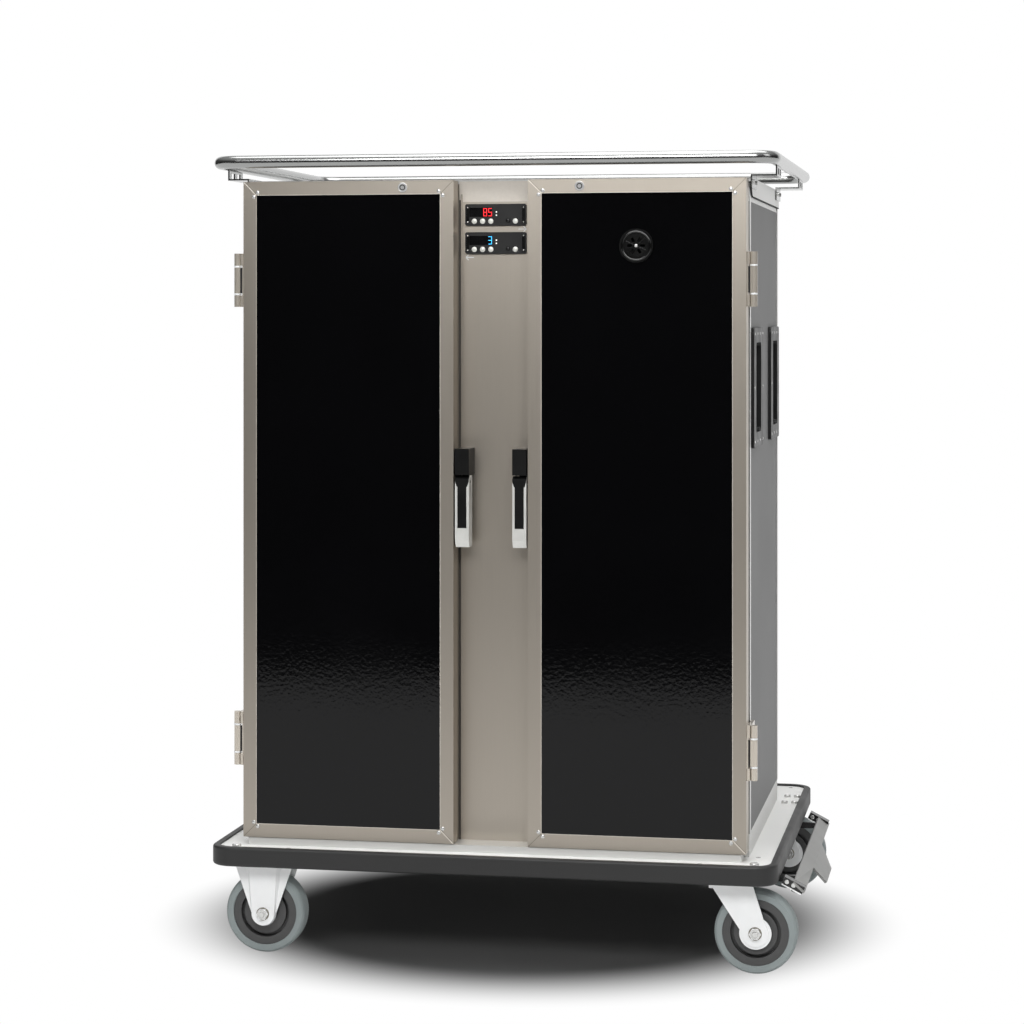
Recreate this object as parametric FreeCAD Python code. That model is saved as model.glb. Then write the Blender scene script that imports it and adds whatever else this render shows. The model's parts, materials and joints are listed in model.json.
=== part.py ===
"""Two-compartment food transport cart: insulated cabinet on a wheeled platform."""
import FreeCAD, Part
import math
import os

Vec = FreeCAD.Vector

# Cabinet: an insulated box with two compartments side by side
cabinet_width = 1000.0          # over the two side walls
cabinet_depth = 632.0           # front rim to back face
cabinet_height = 1318.0         # under the floor panel to the top of the roof panel
wall = 45.0                     # insulated floor, roof, side and back panels
partition_wall = 35.0           # each of the two panels beside the middle duct
duct_width = 120.0              # space between them for wiring and controllers
post_sheet = 2.0                # cover sheet on the front of the partition
post_lift = 12.0                # cover sheet above the deck
plinth_gap = 1.5                # plinth strip below the doors
plinth_inset = 4.0              # strip behind the doors' front
plinth_end = 10.0               # strip ends from the cabinet's sides
profile_width = 20.0            # vertical strips on the side wall edges
profile_thickness = 1.5

# Platform
wheel_diameter = 160.0
castor_headroom = 40.0          # wheel top to the underside of the deck
deck_thickness = 12.0
platform_left_margin = 58.0     # platform past the cabinet's sides
platform_right_margin = 62.0
platform_front_margin = 112.0   # platform past the cabinet's front
platform_rear_margin = 181.0    # platform past the cabinet's back
bumper_thickness = 14.0
bumper_height = 38.0
bumper_lip = 4.0                # bumper top above the deck
bumper_corner = 45.0
bumper_rounding = 5.0
rail_section = 40.0             # chassis tubes below the deck
rail_section_height = 22.0
rail_section_wall = 2.0
rail_inset = 155.0              # long chassis tubes from the castor axes
cross_inset = 165.0             # cross tubes from the castor axes
rail_end_gap = 12.0             # long tube ends to the brake arms

# Castors
castor_inset_left = 103.0       # castor axis to the platform's end
castor_inset_right = 97.0
castor_inset_y = 73.0
castor_plate_length = 140.0
castor_plate_width = 110.0
castor_plate_thickness = 6.0
castor_plate_corner = 12.0
castor_bolt_x = 105.0           # bolt spacing
castor_bolt_y = 80.0
castor_bolt_radius = 5.0
bolt_head_radius = 9.0
bolt_head_height = 6.0
deck_screw_radius = 4.0         # screws beside the rear brake arm
deck_screw_head = 7.0
deck_screw_x = 21.0             # spacing across the brake shaft
deck_screw_y = 74.0             # spacing along it
deck_screw_offset = 36.0        # their middle from the brake arm
nut_height = 7.0
fork_trail = 53.0               # swivel axis to the wheel axle
fork_sheet = 4.0
fork_gap = 4.0                  # wheel side to fork leg
fork_end_radius = 25.0
fork_top_half = 65.0            # fixed fork at its plate, half length
fork_rib_half = 29.0            # pressed middle band of the fixed fork
fork_rib_depth = 7.0
fork_rib_slope = 8.0            # slanted sides of the band at the plate
fork_rib_end_slope = 2.0        # and round the axle
swivel_front_reach = 36.0       # swivel fork crown ahead of its axis
swivel_rear_reach = 47.0
race_radius = 38.0
race_height = 17.0
crown_height = 12.0
swivel_gap = 0.5                # between the fixed race and the turning crown
king_pin_radius = 8.0
axle_radius = 6.0
axle_head_radius = 11.5
axle_head_height = 7.0
hub_washer_radius = 31.0
hub_washer_thickness = 2.0

# Wheels
wheel_width = 46.0
tread_rounding = 7.0
tyre_depth = 16.0
rim_band = 15.0                 # outer band of the wheel centre
rim_groove = 7.0                # turned groove inside the band
rim_groove_depth = 14.0
rim_inset = 3.0                 # wheel centre band behind the tyre side
web_inset = 5.0                 # disc behind the tyre side
hub_radius = 19.0

# Foot brake at the push end
brake_axis_inset = 32.0         # brake shaft to the platform's end
brake_axis_drop = 14.0          # brake shaft below the deck
brake_shaft_flats = 12.0
brake_shaft_past = 10.0         # shaft end past the middle of the arms
brake_hanger_inset = 35.0       # hangers from the arms
brake_hanger_width = 24.0
brake_hanger_drop = 14.0        # hanger below the shaft's middle
brake_plate = 8.0               # thickness of hangers and arms
brake_arm_inset = 80.0          # arms from the castor axes
brake_arm_boss = 12.0
brake_arm_height = 12.0
brake_arm_drop = 26.0           # lower edge of the arms below the shaft
brake_bar_reach = 70.0          # bar from the shaft, sideways
brake_bar_drop = 20.0           # bar below the shaft
brake_bar_width = 28.0
brake_bar_thickness = 5.0
brake_bar_inset = 5.0           # bar ends from the castor axes
brake_bar_tilt = 40.0           # degrees below level
pedal_root = 240.0
pedal_tip = 138.0
pedal_length = 46.0
pedal_tilt = 60.0               # degrees below level
clamp_length = 44.0
clamp_height = 14.0
clamp_width = 24.0
clamp_tilt = 27.0               # degrees below level
clamp_reach = 58.0              # clamp middle from the shaft
clamp_drop = 18.0

# Doors
door_space = 148.0              # between the two doors, in front of the post
door_top_gap = 2.0              # door top below the cabinet's top
door_thickness = 45.0
door_lift = 16.0                # door bottom above the deck
gasket_space = 13.0             # closed door to the cabinet front
gasket_clearance = 0.3
gasket_inset = 7.0
gasket_width = 12.0
frame_width = 27.0
panel_inset = 1.0
panel_thickness = 4.0

# Hinges
hinge_inset = 195.0             # hinge middle from the door's top and bottom
hinge_axis_out = 14.0           # pin beside the cabinet's side
hinge_axis_back = 8.0           # pin behind the door front
pin_radius = 4.0
knuckle_radius = 6.8
knuckle_top = 24.0
knuckle_middle = 51.0
knuckle_bottom = 23.0
knuckle_washer = 3.4
leaf_thickness = 3.0
leaf_clearance = 0.5
leaf_edge = 2.0                 # leaf edges from the edges of what carries them
hinge_arm = 5.5
axial_clearance = 0.3
running_clearance = 0.05

# Lock and vent on the doors
lock_radius = 7.0
lock_depth = 30.0
lock_stand_out = 2.0
lock_from_inner_edge = 102.0
lock_slot_width = 1.6
lock_slot_length = 8.0
lock_slot_depth = 3.0
vent_from_inner_edge = 213.0
vent_drop = 130.0               # vent middle below the door's top
vent_ring_radius = 33.0
vent_ring_height = 4.0
vent_dial_radius = 23.5
vent_dial_height = 2.5
vent_web = 1.5
vent_tube_radius = 20.0
vent_tube_wall = 2.0
vent_pin_radius = 3.0
vent_slot_count = 6
vent_slot_inner = 8.0
vent_slot_outer = 17.0
vent_slot_width = 5.0
vent_clearance = 0.4

# Door latches on the middle post
latch_width = 28.0
latch_edge_gap = 3.0            # latch to door edge
latch_top_height = 1002.0       # floor to the latch's top
latch_block_height = 51.0
lever_length = 140.0
lever_gap = 2.0
lever_depth = 33.0
lever_side = 4.0
lever_front = 6.0
lever_foot = 38.0               # solid lower end of the lever
lever_foot_bevel = 14.0
lever_pivot_back = 14.0         # pivot behind the lever front
lever_pivot_drop = 12.0         # pivot below the lever top
lever_chamfer_back = 7.8
lever_chamfer_drop = 5.4
latch_spine_width = 14.0
latch_spine_depth = 18.0
latch_spine_drop = 46.0
latch_lug_radius = 6.5
latch_pin_radius = 3.0

# Temperature controllers on the post
controller_width = 122.8
controller_height = 42.6
controller_front = 5.0
controller_corner = 4.0
controller_body_width = 116.0
controller_body_height = 38.0
controller_body_depth = 50.0
controller_drop = 68.2          # upper controller's middle below the cabinet top
controller_pitch = 55.6
window_width = 45.7
window_height = 18.4
window_left = 8.7               # window from the controller's left edge
window_top = 7.1
window_depth = 0.8
button_radius = 5.25
button_stand_out = 2.0
button_length = 6.0
button_travel = 1.5
button_first = 18.6             # first button from the controller's left edge
button_pitch = 16.6
button_last = 21.8              # last button from the right edge
button_rise = 8.5               # button row above the lower edge
button_edge = 1.2

# Side grips on the push end
grip_width = 190.0
grip_height = 236.0
grip_plate = 6.7
grip_edge = 34.0                # grip plates from the cabinet's front and back
grip_top_drop = 291.0           # grip top below the cabinet top
grip_corner = 12.0
grip_mouth_width = 104.0
grip_mouth_height = 177.0
grip_mouth_corner = 8.0
grip_depth = 28.0               # bowl behind the wall's face
grip_shell = 3.0
grip_fit = 0.3
grip_screw_radius = 3.0
grip_screw_height = 1.0
grip_screw_inset = 12.0
grip_screw_columns = 4

# Top cover and guard rail
cover_sheet = 2.0
cover_flange = 34.0
cover_slant = 36.0              # flange front end, cut back at the bottom
cover_lip = 7.0
guard_radius = 12.5
guard_wall = 2.0
guard_corner = 45.0
guard_overhang = 4.0            # guard rail past the platform at the push end
guard_rise = 33.5               # guard rail middle above the cover
bracket_width = 95.0
bracket_inset = 41.0            # bracket middles from the cabinet's front and back
bracket_sheet = 3.0
bracket_lift = 2.0              # bracket above the cover
bracket_leg = 27.0
bracket_window_width = 22.0
bracket_window_height = 12.0
bracket_screw_radius = 4.0
bracket_screw_height = 3.0
bracket_screw_spacing = 60.0

# Inside of the compartments
runner_levels = 11
runner_ledge = 26.0
runner_flange = 20.0
runner_sheet = 2.0
runner_front_gap = 16.0
runner_first = 70.0             # lowest ledge above the compartment floor
baffle_side_gap = 15.0          # baffle to the compartment's sides
baffle_height = 360.0
baffle_depth = 50.0
baffle_sheet = 2.0
baffle_rise = 400.0             # baffle bottom above the compartment floor
fan_mouth_radius = 70.0
fan_radius = 62.0
fan_hub_radius = 16.0
fan_width = 20.0
fan_blade = 2.5
fan_blades = 5
fan_blade_pitch = 35.0          # degrees
fan_gap = 8.0                   # fan behind the baffle
motor_radius = 30.0
motor_height = 15.0
motor_shaft_radius = 4.0
heater_radius = 88.0
heater_rod = 4.0                # half the rod's width
heater_foot = 3.0               # radius of the feet that carry the rod
cooler_width = 220.0
cooler_height = 70.0
cooler_depth = 36.0
cooler_base = 4.0
cooler_fin = 3.0
cooler_fins = 12
cooler_lift = 10.0              # cooler above the baffle's lower edge

# Mains inlet in the back
inlet_height = 120.0            # above the deck
inlet_flange_width = 62.0
inlet_flange_height = 50.0
inlet_flange = 3.0
inlet_body_width = 40.0
inlet_body_height = 30.0
inlet_body_depth = 32.0
inlet_wall = 4.0
inlet_pin_width = 6.0
inlet_pin_thickness = 2.0
inlet_pin_length = 18.0
inlet_pin_pitch = 9.0

overrun = 5.0                   # cuts run past the faces that they pierce
fit = 0.2                       # between fixed pieces that slide together

# Places that follow from the sizes
half_width = cabinet_width / 2
half_depth = cabinet_depth / 2
castor_height = wheel_diameter + castor_headroom
deck_top = castor_height + deck_thickness
cabinet_top = deck_top + cabinet_height
room_floor = deck_top + wall
room_top = cabinet_top - wall
room_outer = half_width - wall
room_inner = duct_width / 2 + partition_wall
room_back = half_depth - wall
front_y = -half_depth
door_back_y = front_y - gasket_space
door_front_y = door_back_y - door_thickness
door_inner = door_space / 2
door_bottom = deck_top + door_lift
door_top = cabinet_top - door_top_gap
platform_half_x = half_width + (platform_left_margin + platform_right_margin) / 2
platform_x = (platform_right_margin - platform_left_margin) / 2   # middle of the platform
platform_half_y = half_depth + (platform_front_margin + platform_rear_margin) / 2
platform_y = (platform_rear_margin - platform_front_margin) / 2
bumper_top = deck_top + bumper_lip
bumper_bottom = bumper_top - bumper_height
wheel_radius = wheel_diameter / 2
castor_left = platform_x - platform_half_x + castor_inset_left
castor_right = platform_x + platform_half_x - castor_inset_right
castor_y = platform_half_y - castor_inset_y
castor_rows = (platform_y - castor_y, platform_y + castor_y)
rail_offset = castor_y - rail_inset
cross_places = (castor_left + cross_inset, castor_right - cross_inset)
plate_bottom = castor_height - castor_plate_thickness
leg_inner = wheel_width / 2 + fork_gap
leg_outer = leg_inner + fork_sheet
hinge_x = half_width + hinge_axis_out
hinge_y = door_front_y + hinge_axis_back
hinge_height = knuckle_top + knuckle_middle + knuckle_bottom + 2 * (knuckle_washer + 2 * axial_clearance)
hinge_middles = (door_bottom + hinge_inset, door_top - hinge_inset)
lock_x = door_inner + lock_from_inner_edge
lock_z = door_top - frame_width / 2
vent_x = door_inner + vent_from_inner_edge
vent_z = door_top - vent_drop
panel_front_y = door_front_y + panel_inset
latch_x = door_inner - latch_edge_gap - latch_width / 2
latch_block_bottom = latch_top_height - latch_block_height
lever_top = latch_block_bottom - lever_gap
lever_pivot_y = door_front_y + lever_pivot_back
lever_pivot_z = lever_top - lever_pivot_drop
controller_middles = (cabinet_top - controller_drop, cabinet_top - controller_drop - controller_pitch)
controller_front_y = front_y - controller_front
cover_top = cabinet_top + cover_sheet
flange_inner = half_width + profile_thickness
flange_outer = flange_inner + cover_sheet
guard_z = cover_top + guard_rise
guard_half_x = platform_half_x + guard_overhang / 2 - guard_radius
guard_x = platform_x + guard_overhang / 2   # middle of the guard rail
guard_half_y = half_depth + platform_front_margin - guard_radius
grip_top = cabinet_top - grip_top_drop
grip_middle = grip_top - grip_height / 2
grip_offset = half_depth - grip_edge - grip_width / 2
bracket_offset = half_depth - bracket_inset
brake_x = platform_x + platform_half_x - brake_axis_inset
brake_z = castor_height - brake_axis_drop
brake_shaft_corner = brake_shaft_flats / math.sqrt(3)
brake_arm_offset = -castor_rows[0] - brake_arm_inset
brake_hanger_offset = brake_arm_offset - brake_hanger_inset
brake_shaft_half = brake_arm_offset + brake_shaft_past
brake_bar_half = -castor_rows[0] - brake_bar_inset
fan_x = (room_inner + room_outer) / 2
baffle_width = room_outer - room_inner - 2 * baffle_side_gap
fan_z = room_floor + baffle_rise + baffle_height / 2
baffle_front_y = room_back - baffle_depth
fan_front_y = baffle_front_y + baffle_sheet + fan_gap
brake_arm_reach = (                                    # the arms end where their top meets the bar's top
    brake_bar_reach
    - (brake_bar_drop - brake_arm_drop + brake_arm_height) / math.tan(math.radians(brake_bar_tilt))
)
pedal_reach = (
    brake_x + brake_bar_reach
    + brake_bar_width / 2 * math.cos(math.radians(brake_bar_tilt))
    + pedal_length * math.cos(math.radians(pedal_tilt))
)
origin_x = (pedal_reach + guard_x - guard_half_x - guard_radius) / 2   # middle of the whole length


def block(x0, x1, y0, y1, z0, z1):
    """Box between two values on each axis, in either order."""
    low = Vec(min(x0, x1), min(y0, y1), min(z0, z1))
    return Part.makeBox(abs(x1 - x0), abs(y1 - y0), abs(z1 - z0), low)


def rod(radius, start, end):
    """Round bar between two points."""
    return Part.makeCylinder(radius, (end - start).Length, start, end - start)


def slab(points, thickness):
    """Flat outline drawn out along a vector."""
    return Part.Face(Part.makePolygon(points + [points[0]])).extrude(thickness)


def hexagon(corner, start, length):
    """Six-sided bar along Y."""
    turns = [math.radians(60 * step) for step in range(6)]
    points = [start + Vec(corner * math.cos(turn), 0, corner * math.sin(turn)) for turn in turns]
    return slab(points, Vec(0, length, 0))


def rounded_plate(half_x, half_y, corner, z0, z1):
    """Level plate with rounded corners, about the Z axis."""
    plate = block(-half_x, half_x, -half_y, half_y, z0, z1)
    upright = [edge for edge in plate.Edges if abs(edge.Vertexes[0].Z - edge.Vertexes[1].Z) > 0]
    return plate.makeFillet(corner, upright)


def upright_plate(half_y, half_z, corner, x0, x1, middle_y, middle_z):
    """Plate square to X with rounded corners."""
    plate = block(x0, x1, middle_y - half_y, middle_y + half_y, middle_z - half_z, middle_z + half_z)
    level = [edge for edge in plate.Edges if abs(edge.Vertexes[0].X - edge.Vertexes[1].X) > 0]
    return plate.makeFillet(corner, level)


def front_plate(half_x, half_z, corner, y0, y1, middle_x, middle_z):
    """Plate square to Y with rounded corners."""
    plate = block(middle_x - half_x, middle_x + half_x, y0, y1, middle_z - half_z, middle_z + half_z)
    level = [edge for edge in plate.Edges if abs(edge.Vertexes[0].Y - edge.Vertexes[1].Y) > 0]
    return plate.makeFillet(corner, level)


def mirrored(shape):
    """The same piece on the other side of the cart's middle."""
    return shape.mirror(Vec(0, 0, 0), Vec(1, 0, 0))


def handed(shape, side):
    """A piece drawn on the right, placed on the right or the left."""
    return shape if side > 0 else mirrored(shape)


def group(shapes):
    """Separate solids in one sub-part."""
    return Part.makeCompound([solid for shape in shapes for solid in shape.Solids])


def castor_corners():
    """Bolt places of one castor plate, about its middle."""
    return [(x * castor_bolt_x / 2, y * castor_bolt_y / 2) for x in (-1, 1) for y in (-1, 1)]


def bolt_holes(shape, middle_x, middle_y):
    """The four bolt holes of a castor, through a level plate."""
    for dx, dy in castor_corners():
        low = Vec(middle_x + dx, middle_y + dy, plate_bottom - overrun)
        high = Vec(middle_x + dx, middle_y + dy, deck_top + overrun)
        shape = shape.cut(rod(castor_bolt_radius + fit, low, high))
    return shape


def deck():
    plate = rounded_plate(
        platform_half_x - bumper_thickness - fit, platform_half_y - bumper_thickness - fit,
        bumper_corner - bumper_thickness - fit, castor_height, deck_top)
    plate.translate(Vec(platform_x, platform_y, 0))
    for x in (castor_left, castor_right):
        for y in castor_rows:
            plate = bolt_holes(plate, x, y)
    for x, y in deck_screw_places():
        plate = plate.cut(rod(deck_screw_radius + fit, Vec(x, y, castor_height - overrun),
                              Vec(x, y, deck_top + overrun)))
    return plate


def bumper():
    outer = rounded_plate(platform_half_x, platform_half_y, bumper_corner, bumper_bottom, bumper_top)
    rims = [edge for edge in outer.Edges if edge.Vertexes[0].Z == edge.Vertexes[-1].Z]
    outer = outer.makeFillet(bumper_rounding, rims)
    inner = rounded_plate(
        platform_half_x - bumper_thickness, platform_half_y - bumper_thickness,
        bumper_corner - bumper_thickness, bumper_bottom - overrun, bumper_top + overrun)
    ring = outer.cut(inner)
    ring.translate(Vec(platform_x, platform_y, 0))
    return ring


def tube_along(length_x, length_y, middle_x, middle_y):
    """Rectangular chassis tube under the deck, open at its two ends."""
    low = castor_height - rail_section_height
    tube = block(middle_x - length_x / 2, middle_x + length_x / 2,
                 middle_y - length_y / 2, middle_y + length_y / 2, low, castor_height)
    inset = rail_section_wall
    if length_x > length_y:
        reach_x, reach_y = length_x / 2 + overrun, length_y / 2 - inset
    else:
        reach_x, reach_y = length_x / 2 - inset, length_y / 2 + overrun
    return tube.cut(block(middle_x - reach_x, middle_x + reach_x, middle_y - reach_y, middle_y + reach_y,
                          low + inset, castor_height - inset))


def brake_hanger(y):
    """Plate below the deck that the brake shaft turns in."""
    plate = block(brake_x - brake_hanger_width / 2, brake_x + brake_hanger_width / 2,
                  y - brake_plate / 2, y + brake_plate / 2, brake_z - brake_hanger_drop, castor_height)
    start = Vec(brake_x, y - brake_plate, brake_z)
    return plate.cut(rod(brake_shaft_corner + running_clearance, start, start + Vec(0, 2 * brake_plate, 0)))


def chassis_frame():
    long_length = 2 * (brake_x - platform_x - brake_arm_boss - rail_end_gap)
    cross_length = 2 * rail_offset - rail_section
    tubes = [tube_along(long_length, rail_section, platform_x, platform_y + side * rail_offset)
             for side in (-1, 1)]
    tubes += [tube_along(rail_section, cross_length, x, platform_y) for x in cross_places]
    return group(tubes + [brake_hanger(y) for y in (-brake_hanger_offset, brake_hanger_offset)])


def castor_plate(x, y):
    plate = rounded_plate(castor_plate_length / 2, castor_plate_width / 2, castor_plate_corner,
                          plate_bottom, castor_height)
    plate.translate(Vec(x, y, 0))
    return bolt_holes(plate, x, y)


def leg_outline(x, y, front, rear, axle_x, top):
    """One tapered fork leg: straight edges that run on to the round end."""
    end = rod(fork_end_radius, Vec(axle_x, y, wheel_radius), Vec(axle_x, y + fork_sheet, wheel_radius))
    points = [Vec(x - front, y, top), Vec(x + rear, y, top),
              Vec(axle_x + fork_end_radius, y, wheel_radius),
              Vec(axle_x - fork_end_radius, y, wheel_radius)]
    return slab(points, Vec(0, fork_sheet, 0)).fuse(end)


def axle_bore(x, y):
    start = Vec(x, y - leg_outer - fork_rib_depth - overrun, wheel_radius)
    return rod(axle_radius + running_clearance, start,
               start + Vec(0, 2 * (leg_outer + fork_rib_depth + overrun), 0))


def axle(x, y, reach):
    """Wheel bolt with its hexagon head and nut outside the fork legs."""
    start = Vec(x, y - reach, wheel_radius)
    bolt = rod(axle_radius, start, Vec(x, y + reach, wheel_radius))
    head = hexagon(axle_head_radius, Vec(x, y - reach - axle_head_height, wheel_radius), axle_head_height)
    nut = hexagon(axle_head_radius, Vec(x, y + reach, wheel_radius), axle_head_height)
    return bolt.fuse([head, nut]).removeSplitter()


def band_outline(x, y, top_half, end_radius):
    """Closed outline of the pressed band: round at the axle, wider at the plate."""
    left = Vec(x - end_radius, y, wheel_radius)
    right = Vec(x + end_radius, y, wheel_radius)
    top_left = Vec(x - top_half, y, plate_bottom)
    top_right = Vec(x + top_half, y, plate_bottom)
    end = Part.Arc(left, Vec(x, y, wheel_radius - end_radius), right).toShape()
    return Part.Wire([Part.makeLine(top_left, left), end, Part.makeLine(right, top_right),
                      Part.makeLine(top_right, top_left)])


def fixed_castor(y):
    x = castor_left
    pieces = [castor_plate(x, y)]
    for side, low in ((1, leg_inner), (-1, -leg_outer)):
        pieces.append(leg_outline(x, y + low, fork_top_half, fork_top_half, x, plate_bottom))
        wide = band_outline(x, y + side * leg_outer, fork_rib_half + fork_rib_slope, fork_end_radius)
        narrow = band_outline(x, y + side * (leg_outer + fork_rib_depth), fork_rib_half,
                              fork_end_radius - fork_rib_end_slope)
        pieces.append(Part.makeLoft([wide, narrow], True, True))
    fork = pieces[0].fuse(pieces[1:]).removeSplitter().cut(axle_bore(x, y))
    return group([fork, axle(x, y, leg_outer + fork_rib_depth)])


def swivel_mount(y):
    """Top plate of a swivel castor, with the fixed half of its race and the king pin."""
    race = rod(race_radius, Vec(castor_right, y, plate_bottom - race_height),
               Vec(castor_right, y, plate_bottom))
    low = plate_bottom - race_height - swivel_gap - crown_height
    pin = rod(king_pin_radius, Vec(castor_right, y, low), Vec(castor_right, y, plate_bottom))
    return castor_plate(castor_right, y).fuse([race, pin]).removeSplitter()


def castor_mounts():
    return group([fixed_castor(y) for y in castor_rows] + [swivel_mount(y) for y in castor_rows])


def swivel_fork(y):
    axle_x = castor_right + fork_trail
    top = plate_bottom - race_height - swivel_gap
    crown = block(castor_right - swivel_front_reach, castor_right + swivel_rear_reach,
                  y - leg_outer, y + leg_outer, top - crown_height, top)
    legs = [leg_outline(castor_right, y + low, swivel_front_reach, swivel_rear_reach, axle_x, top)
            for low in (leg_inner, -leg_outer)]
    fork = crown.fuse(legs).removeSplitter().cut(axle_bore(axle_x, y))
    pin_low = Vec(castor_right, y, top - crown_height - overrun)
    fork = fork.cut(rod(king_pin_radius + running_clearance, pin_low, Vec(castor_right, y, top + overrun)))
    washers = []
    for low in (-leg_inner, leg_inner - hub_washer_thickness):
        disc = rod(hub_washer_radius, Vec(axle_x, y + low, wheel_radius),
                   Vec(axle_x, y + low + hub_washer_thickness, wheel_radius))
        washers.append(disc.cut(axle_bore(axle_x, y)))
    return group([fork, axle(axle_x, y, leg_outer)] + washers)


def turned(profile, x, y):
    """Ring turned about a wheel axle from an outline of (radius, offset) pairs."""
    points = [Vec(x, y + offset, wheel_radius + radius) for radius, offset in profile]
    face = Part.Face(Part.makePolygon(points + [points[0]]))
    return face.revolve(Vec(x, y, wheel_radius), Vec(0, 1, 0), 360)


def tyre(x, y):
    half = wheel_width / 2
    inner = wheel_radius - tyre_depth
    ring = turned([(inner, -half), (wheel_radius, -half), (wheel_radius, half), (inner, half)], x, y)
    edges = [edge for edge in ring.Edges
             if hasattr(edge.Curve, "Radius") and abs(edge.Curve.Radius - wheel_radius) < fit]
    return ring.makeFillet(tread_rounding, edges)


def wheel_centre(x, y):
    """Moulded wheel centre with a turned groove in each side and its hub."""
    outer = wheel_radius - tyre_depth
    band = outer - rim_band
    groove = band - rim_groove
    half = wheel_width / 2 - rim_inset
    web = wheel_width / 2 - web_inset
    floor = wheel_width / 2 - rim_inset - rim_groove_depth
    hub = leg_inner - hub_washer_thickness - axial_clearance
    bore = axle_radius + running_clearance
    side = [(outer, half), (band, half), (band, floor), (groove, floor), (groove, web),
            (hub_radius, web), (hub_radius, hub), (bore, hub)]
    other = [(radius, -offset) for radius, offset in reversed(side)]
    return turned(side + other, x, y)


def wheel_places():
    """Names and axle places of the four wheels."""
    swivel = castor_right + fork_trail
    front, rear = castor_rows
    return (("front_left", castor_left, front), ("rear_left", castor_left, rear),
            ("front_right", swivel, front), ("rear_right", swivel, rear))


def brake_bar():
    tilt = math.radians(brake_bar_tilt)
    along = Vec(math.cos(tilt), 0, -math.sin(tilt))
    across = Vec(math.sin(tilt), 0, math.cos(tilt))
    middle = Vec(brake_x + brake_bar_reach, -brake_bar_half, brake_z - brake_bar_drop)
    inner = middle - along * (brake_bar_width / 2)
    outer = middle + along * (brake_bar_width / 2)
    thick = across * (-brake_bar_thickness)
    bar = slab([inner, outer, outer + thick, inner + thick], Vec(0, 2 * brake_bar_half, 0))
    fall = math.radians(pedal_tilt)
    reach = Vec(math.cos(fall), 0, -math.sin(fall)) * pedal_length
    root = Vec(outer.x, 0, outer.z)
    half_root = Vec(0, pedal_root / 2, 0)
    half_tip = Vec(0, pedal_tip / 2, 0)
    plate = slab([root - half_root, root + half_root, root + reach + half_tip, root + reach - half_tip],
                 Vec(-math.sin(fall), 0, -math.cos(fall)) * brake_bar_thickness)
    return bar.fuse(plate).removeSplitter()


def brake_arm(y):
    low = y - brake_plate / 2
    high = y + brake_plate / 2
    arm_low = brake_z - brake_arm_drop
    boss = rod(brake_arm_boss, Vec(brake_x, low, brake_z), Vec(brake_x, high, brake_z))
    neck = block(brake_x - brake_arm_boss, brake_x + brake_arm_boss, low, high, arm_low, brake_z)
    beam = block(brake_x - brake_arm_boss, brake_x + brake_arm_reach, low, high,
                 arm_low, arm_low + brake_arm_height)
    return boss.fuse([neck, beam]).removeSplitter()


def brake_clamp(side):
    """Clamp block round one end of the brake bar."""
    end = side * (brake_bar_half - clamp_width)
    clamp = block(-clamp_length / 2, clamp_length / 2, end, end + side * clamp_width,
                  -clamp_height / 2, clamp_height / 2)
    clamp.rotate(Vec(0, 0, 0), Vec(0, 1, 0), clamp_tilt)
    clamp.translate(Vec(brake_x + clamp_reach, 0, brake_z - clamp_drop))
    return clamp


def brake_arms():
    bar = brake_bar()
    shaft = hexagon(brake_shaft_corner, Vec(brake_x, -brake_shaft_half, brake_z), 2 * brake_shaft_half)
    pieces = [brake_arm(y) for y in (-brake_arm_offset, brake_arm_offset)]
    pieces += [brake_clamp(side) for side in (-1, 1)]
    return group([piece.cut(bar.fuse(shaft)) for piece in pieces] + [shaft])


def post_notch():
    """Space of the post's cover sheet in the front of the floor and roof panels."""
    return block(-room_inner, room_inner, front_y - overrun, front_y + post_sheet,
                 deck_top + post_lift, cabinet_top + overrun)


def cabinet_floor():
    """Floor panel and the plinth strip before it, under the doors."""
    panel = block(-half_width, half_width, front_y, half_depth, deck_top, room_floor).cut(post_notch())
    strip = block(-half_width + plinth_end, half_width - plinth_end, door_front_y + plinth_inset, front_y,
                  deck_top, door_bottom - plinth_gap)
    return group([panel, strip])


def cabinet_roof():
    return block(-half_width, half_width, front_y, half_depth, room_top, cabinet_top).cut(post_notch())


def side_walls():
    panel = block(room_outer, half_width, front_y, half_depth, room_floor, room_top)
    right = panel
    for y in (-grip_offset, grip_offset):
        right = right.cut(upright_plate(
            grip_mouth_width / 2 + grip_shell + grip_fit, grip_mouth_height / 2 + grip_shell + grip_fit,
            grip_mouth_corner, half_width - grip_depth - grip_fit, half_width + overrun, y, grip_middle))
    return group([mirrored(panel), right])


def inlet_box(half_x, half_z, y0, y1):
    middle = deck_top + inlet_height
    return block(-half_x, half_x, y0, y1, middle - half_z, middle + half_z)


def back_wall():
    panel = block(-room_outer, room_outer, room_back, half_depth, room_floor, room_top)
    return panel.cut(inlet_box(inlet_body_width / 2 + fit, inlet_body_height / 2 + fit,
                               half_depth - inlet_body_depth - fit, half_depth + overrun))


def power_inlet():
    flange = inlet_box(inlet_flange_width / 2, inlet_flange_height / 2,
                       half_depth, half_depth + inlet_flange)
    body = inlet_box(inlet_body_width / 2, inlet_body_height / 2, half_depth - inlet_body_depth, half_depth)
    hollow = inlet_box(inlet_body_width / 2 - inlet_wall, inlet_body_height / 2 - inlet_wall,
                       half_depth - inlet_body_depth + inlet_wall, half_depth + inlet_flange + overrun)
    socket = flange.fuse(body).removeSplitter().cut(hollow)
    start = half_depth - inlet_body_depth + inlet_wall
    middle = deck_top + inlet_height
    pins = [block(x - inlet_pin_thickness / 2, x + inlet_pin_thickness / 2, start, start + inlet_pin_length,
                  middle - inlet_pin_width / 2, middle + inlet_pin_width / 2)
            for x in (-inlet_pin_pitch, 0, inlet_pin_pitch)]
    return group([socket] + pins)


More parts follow.
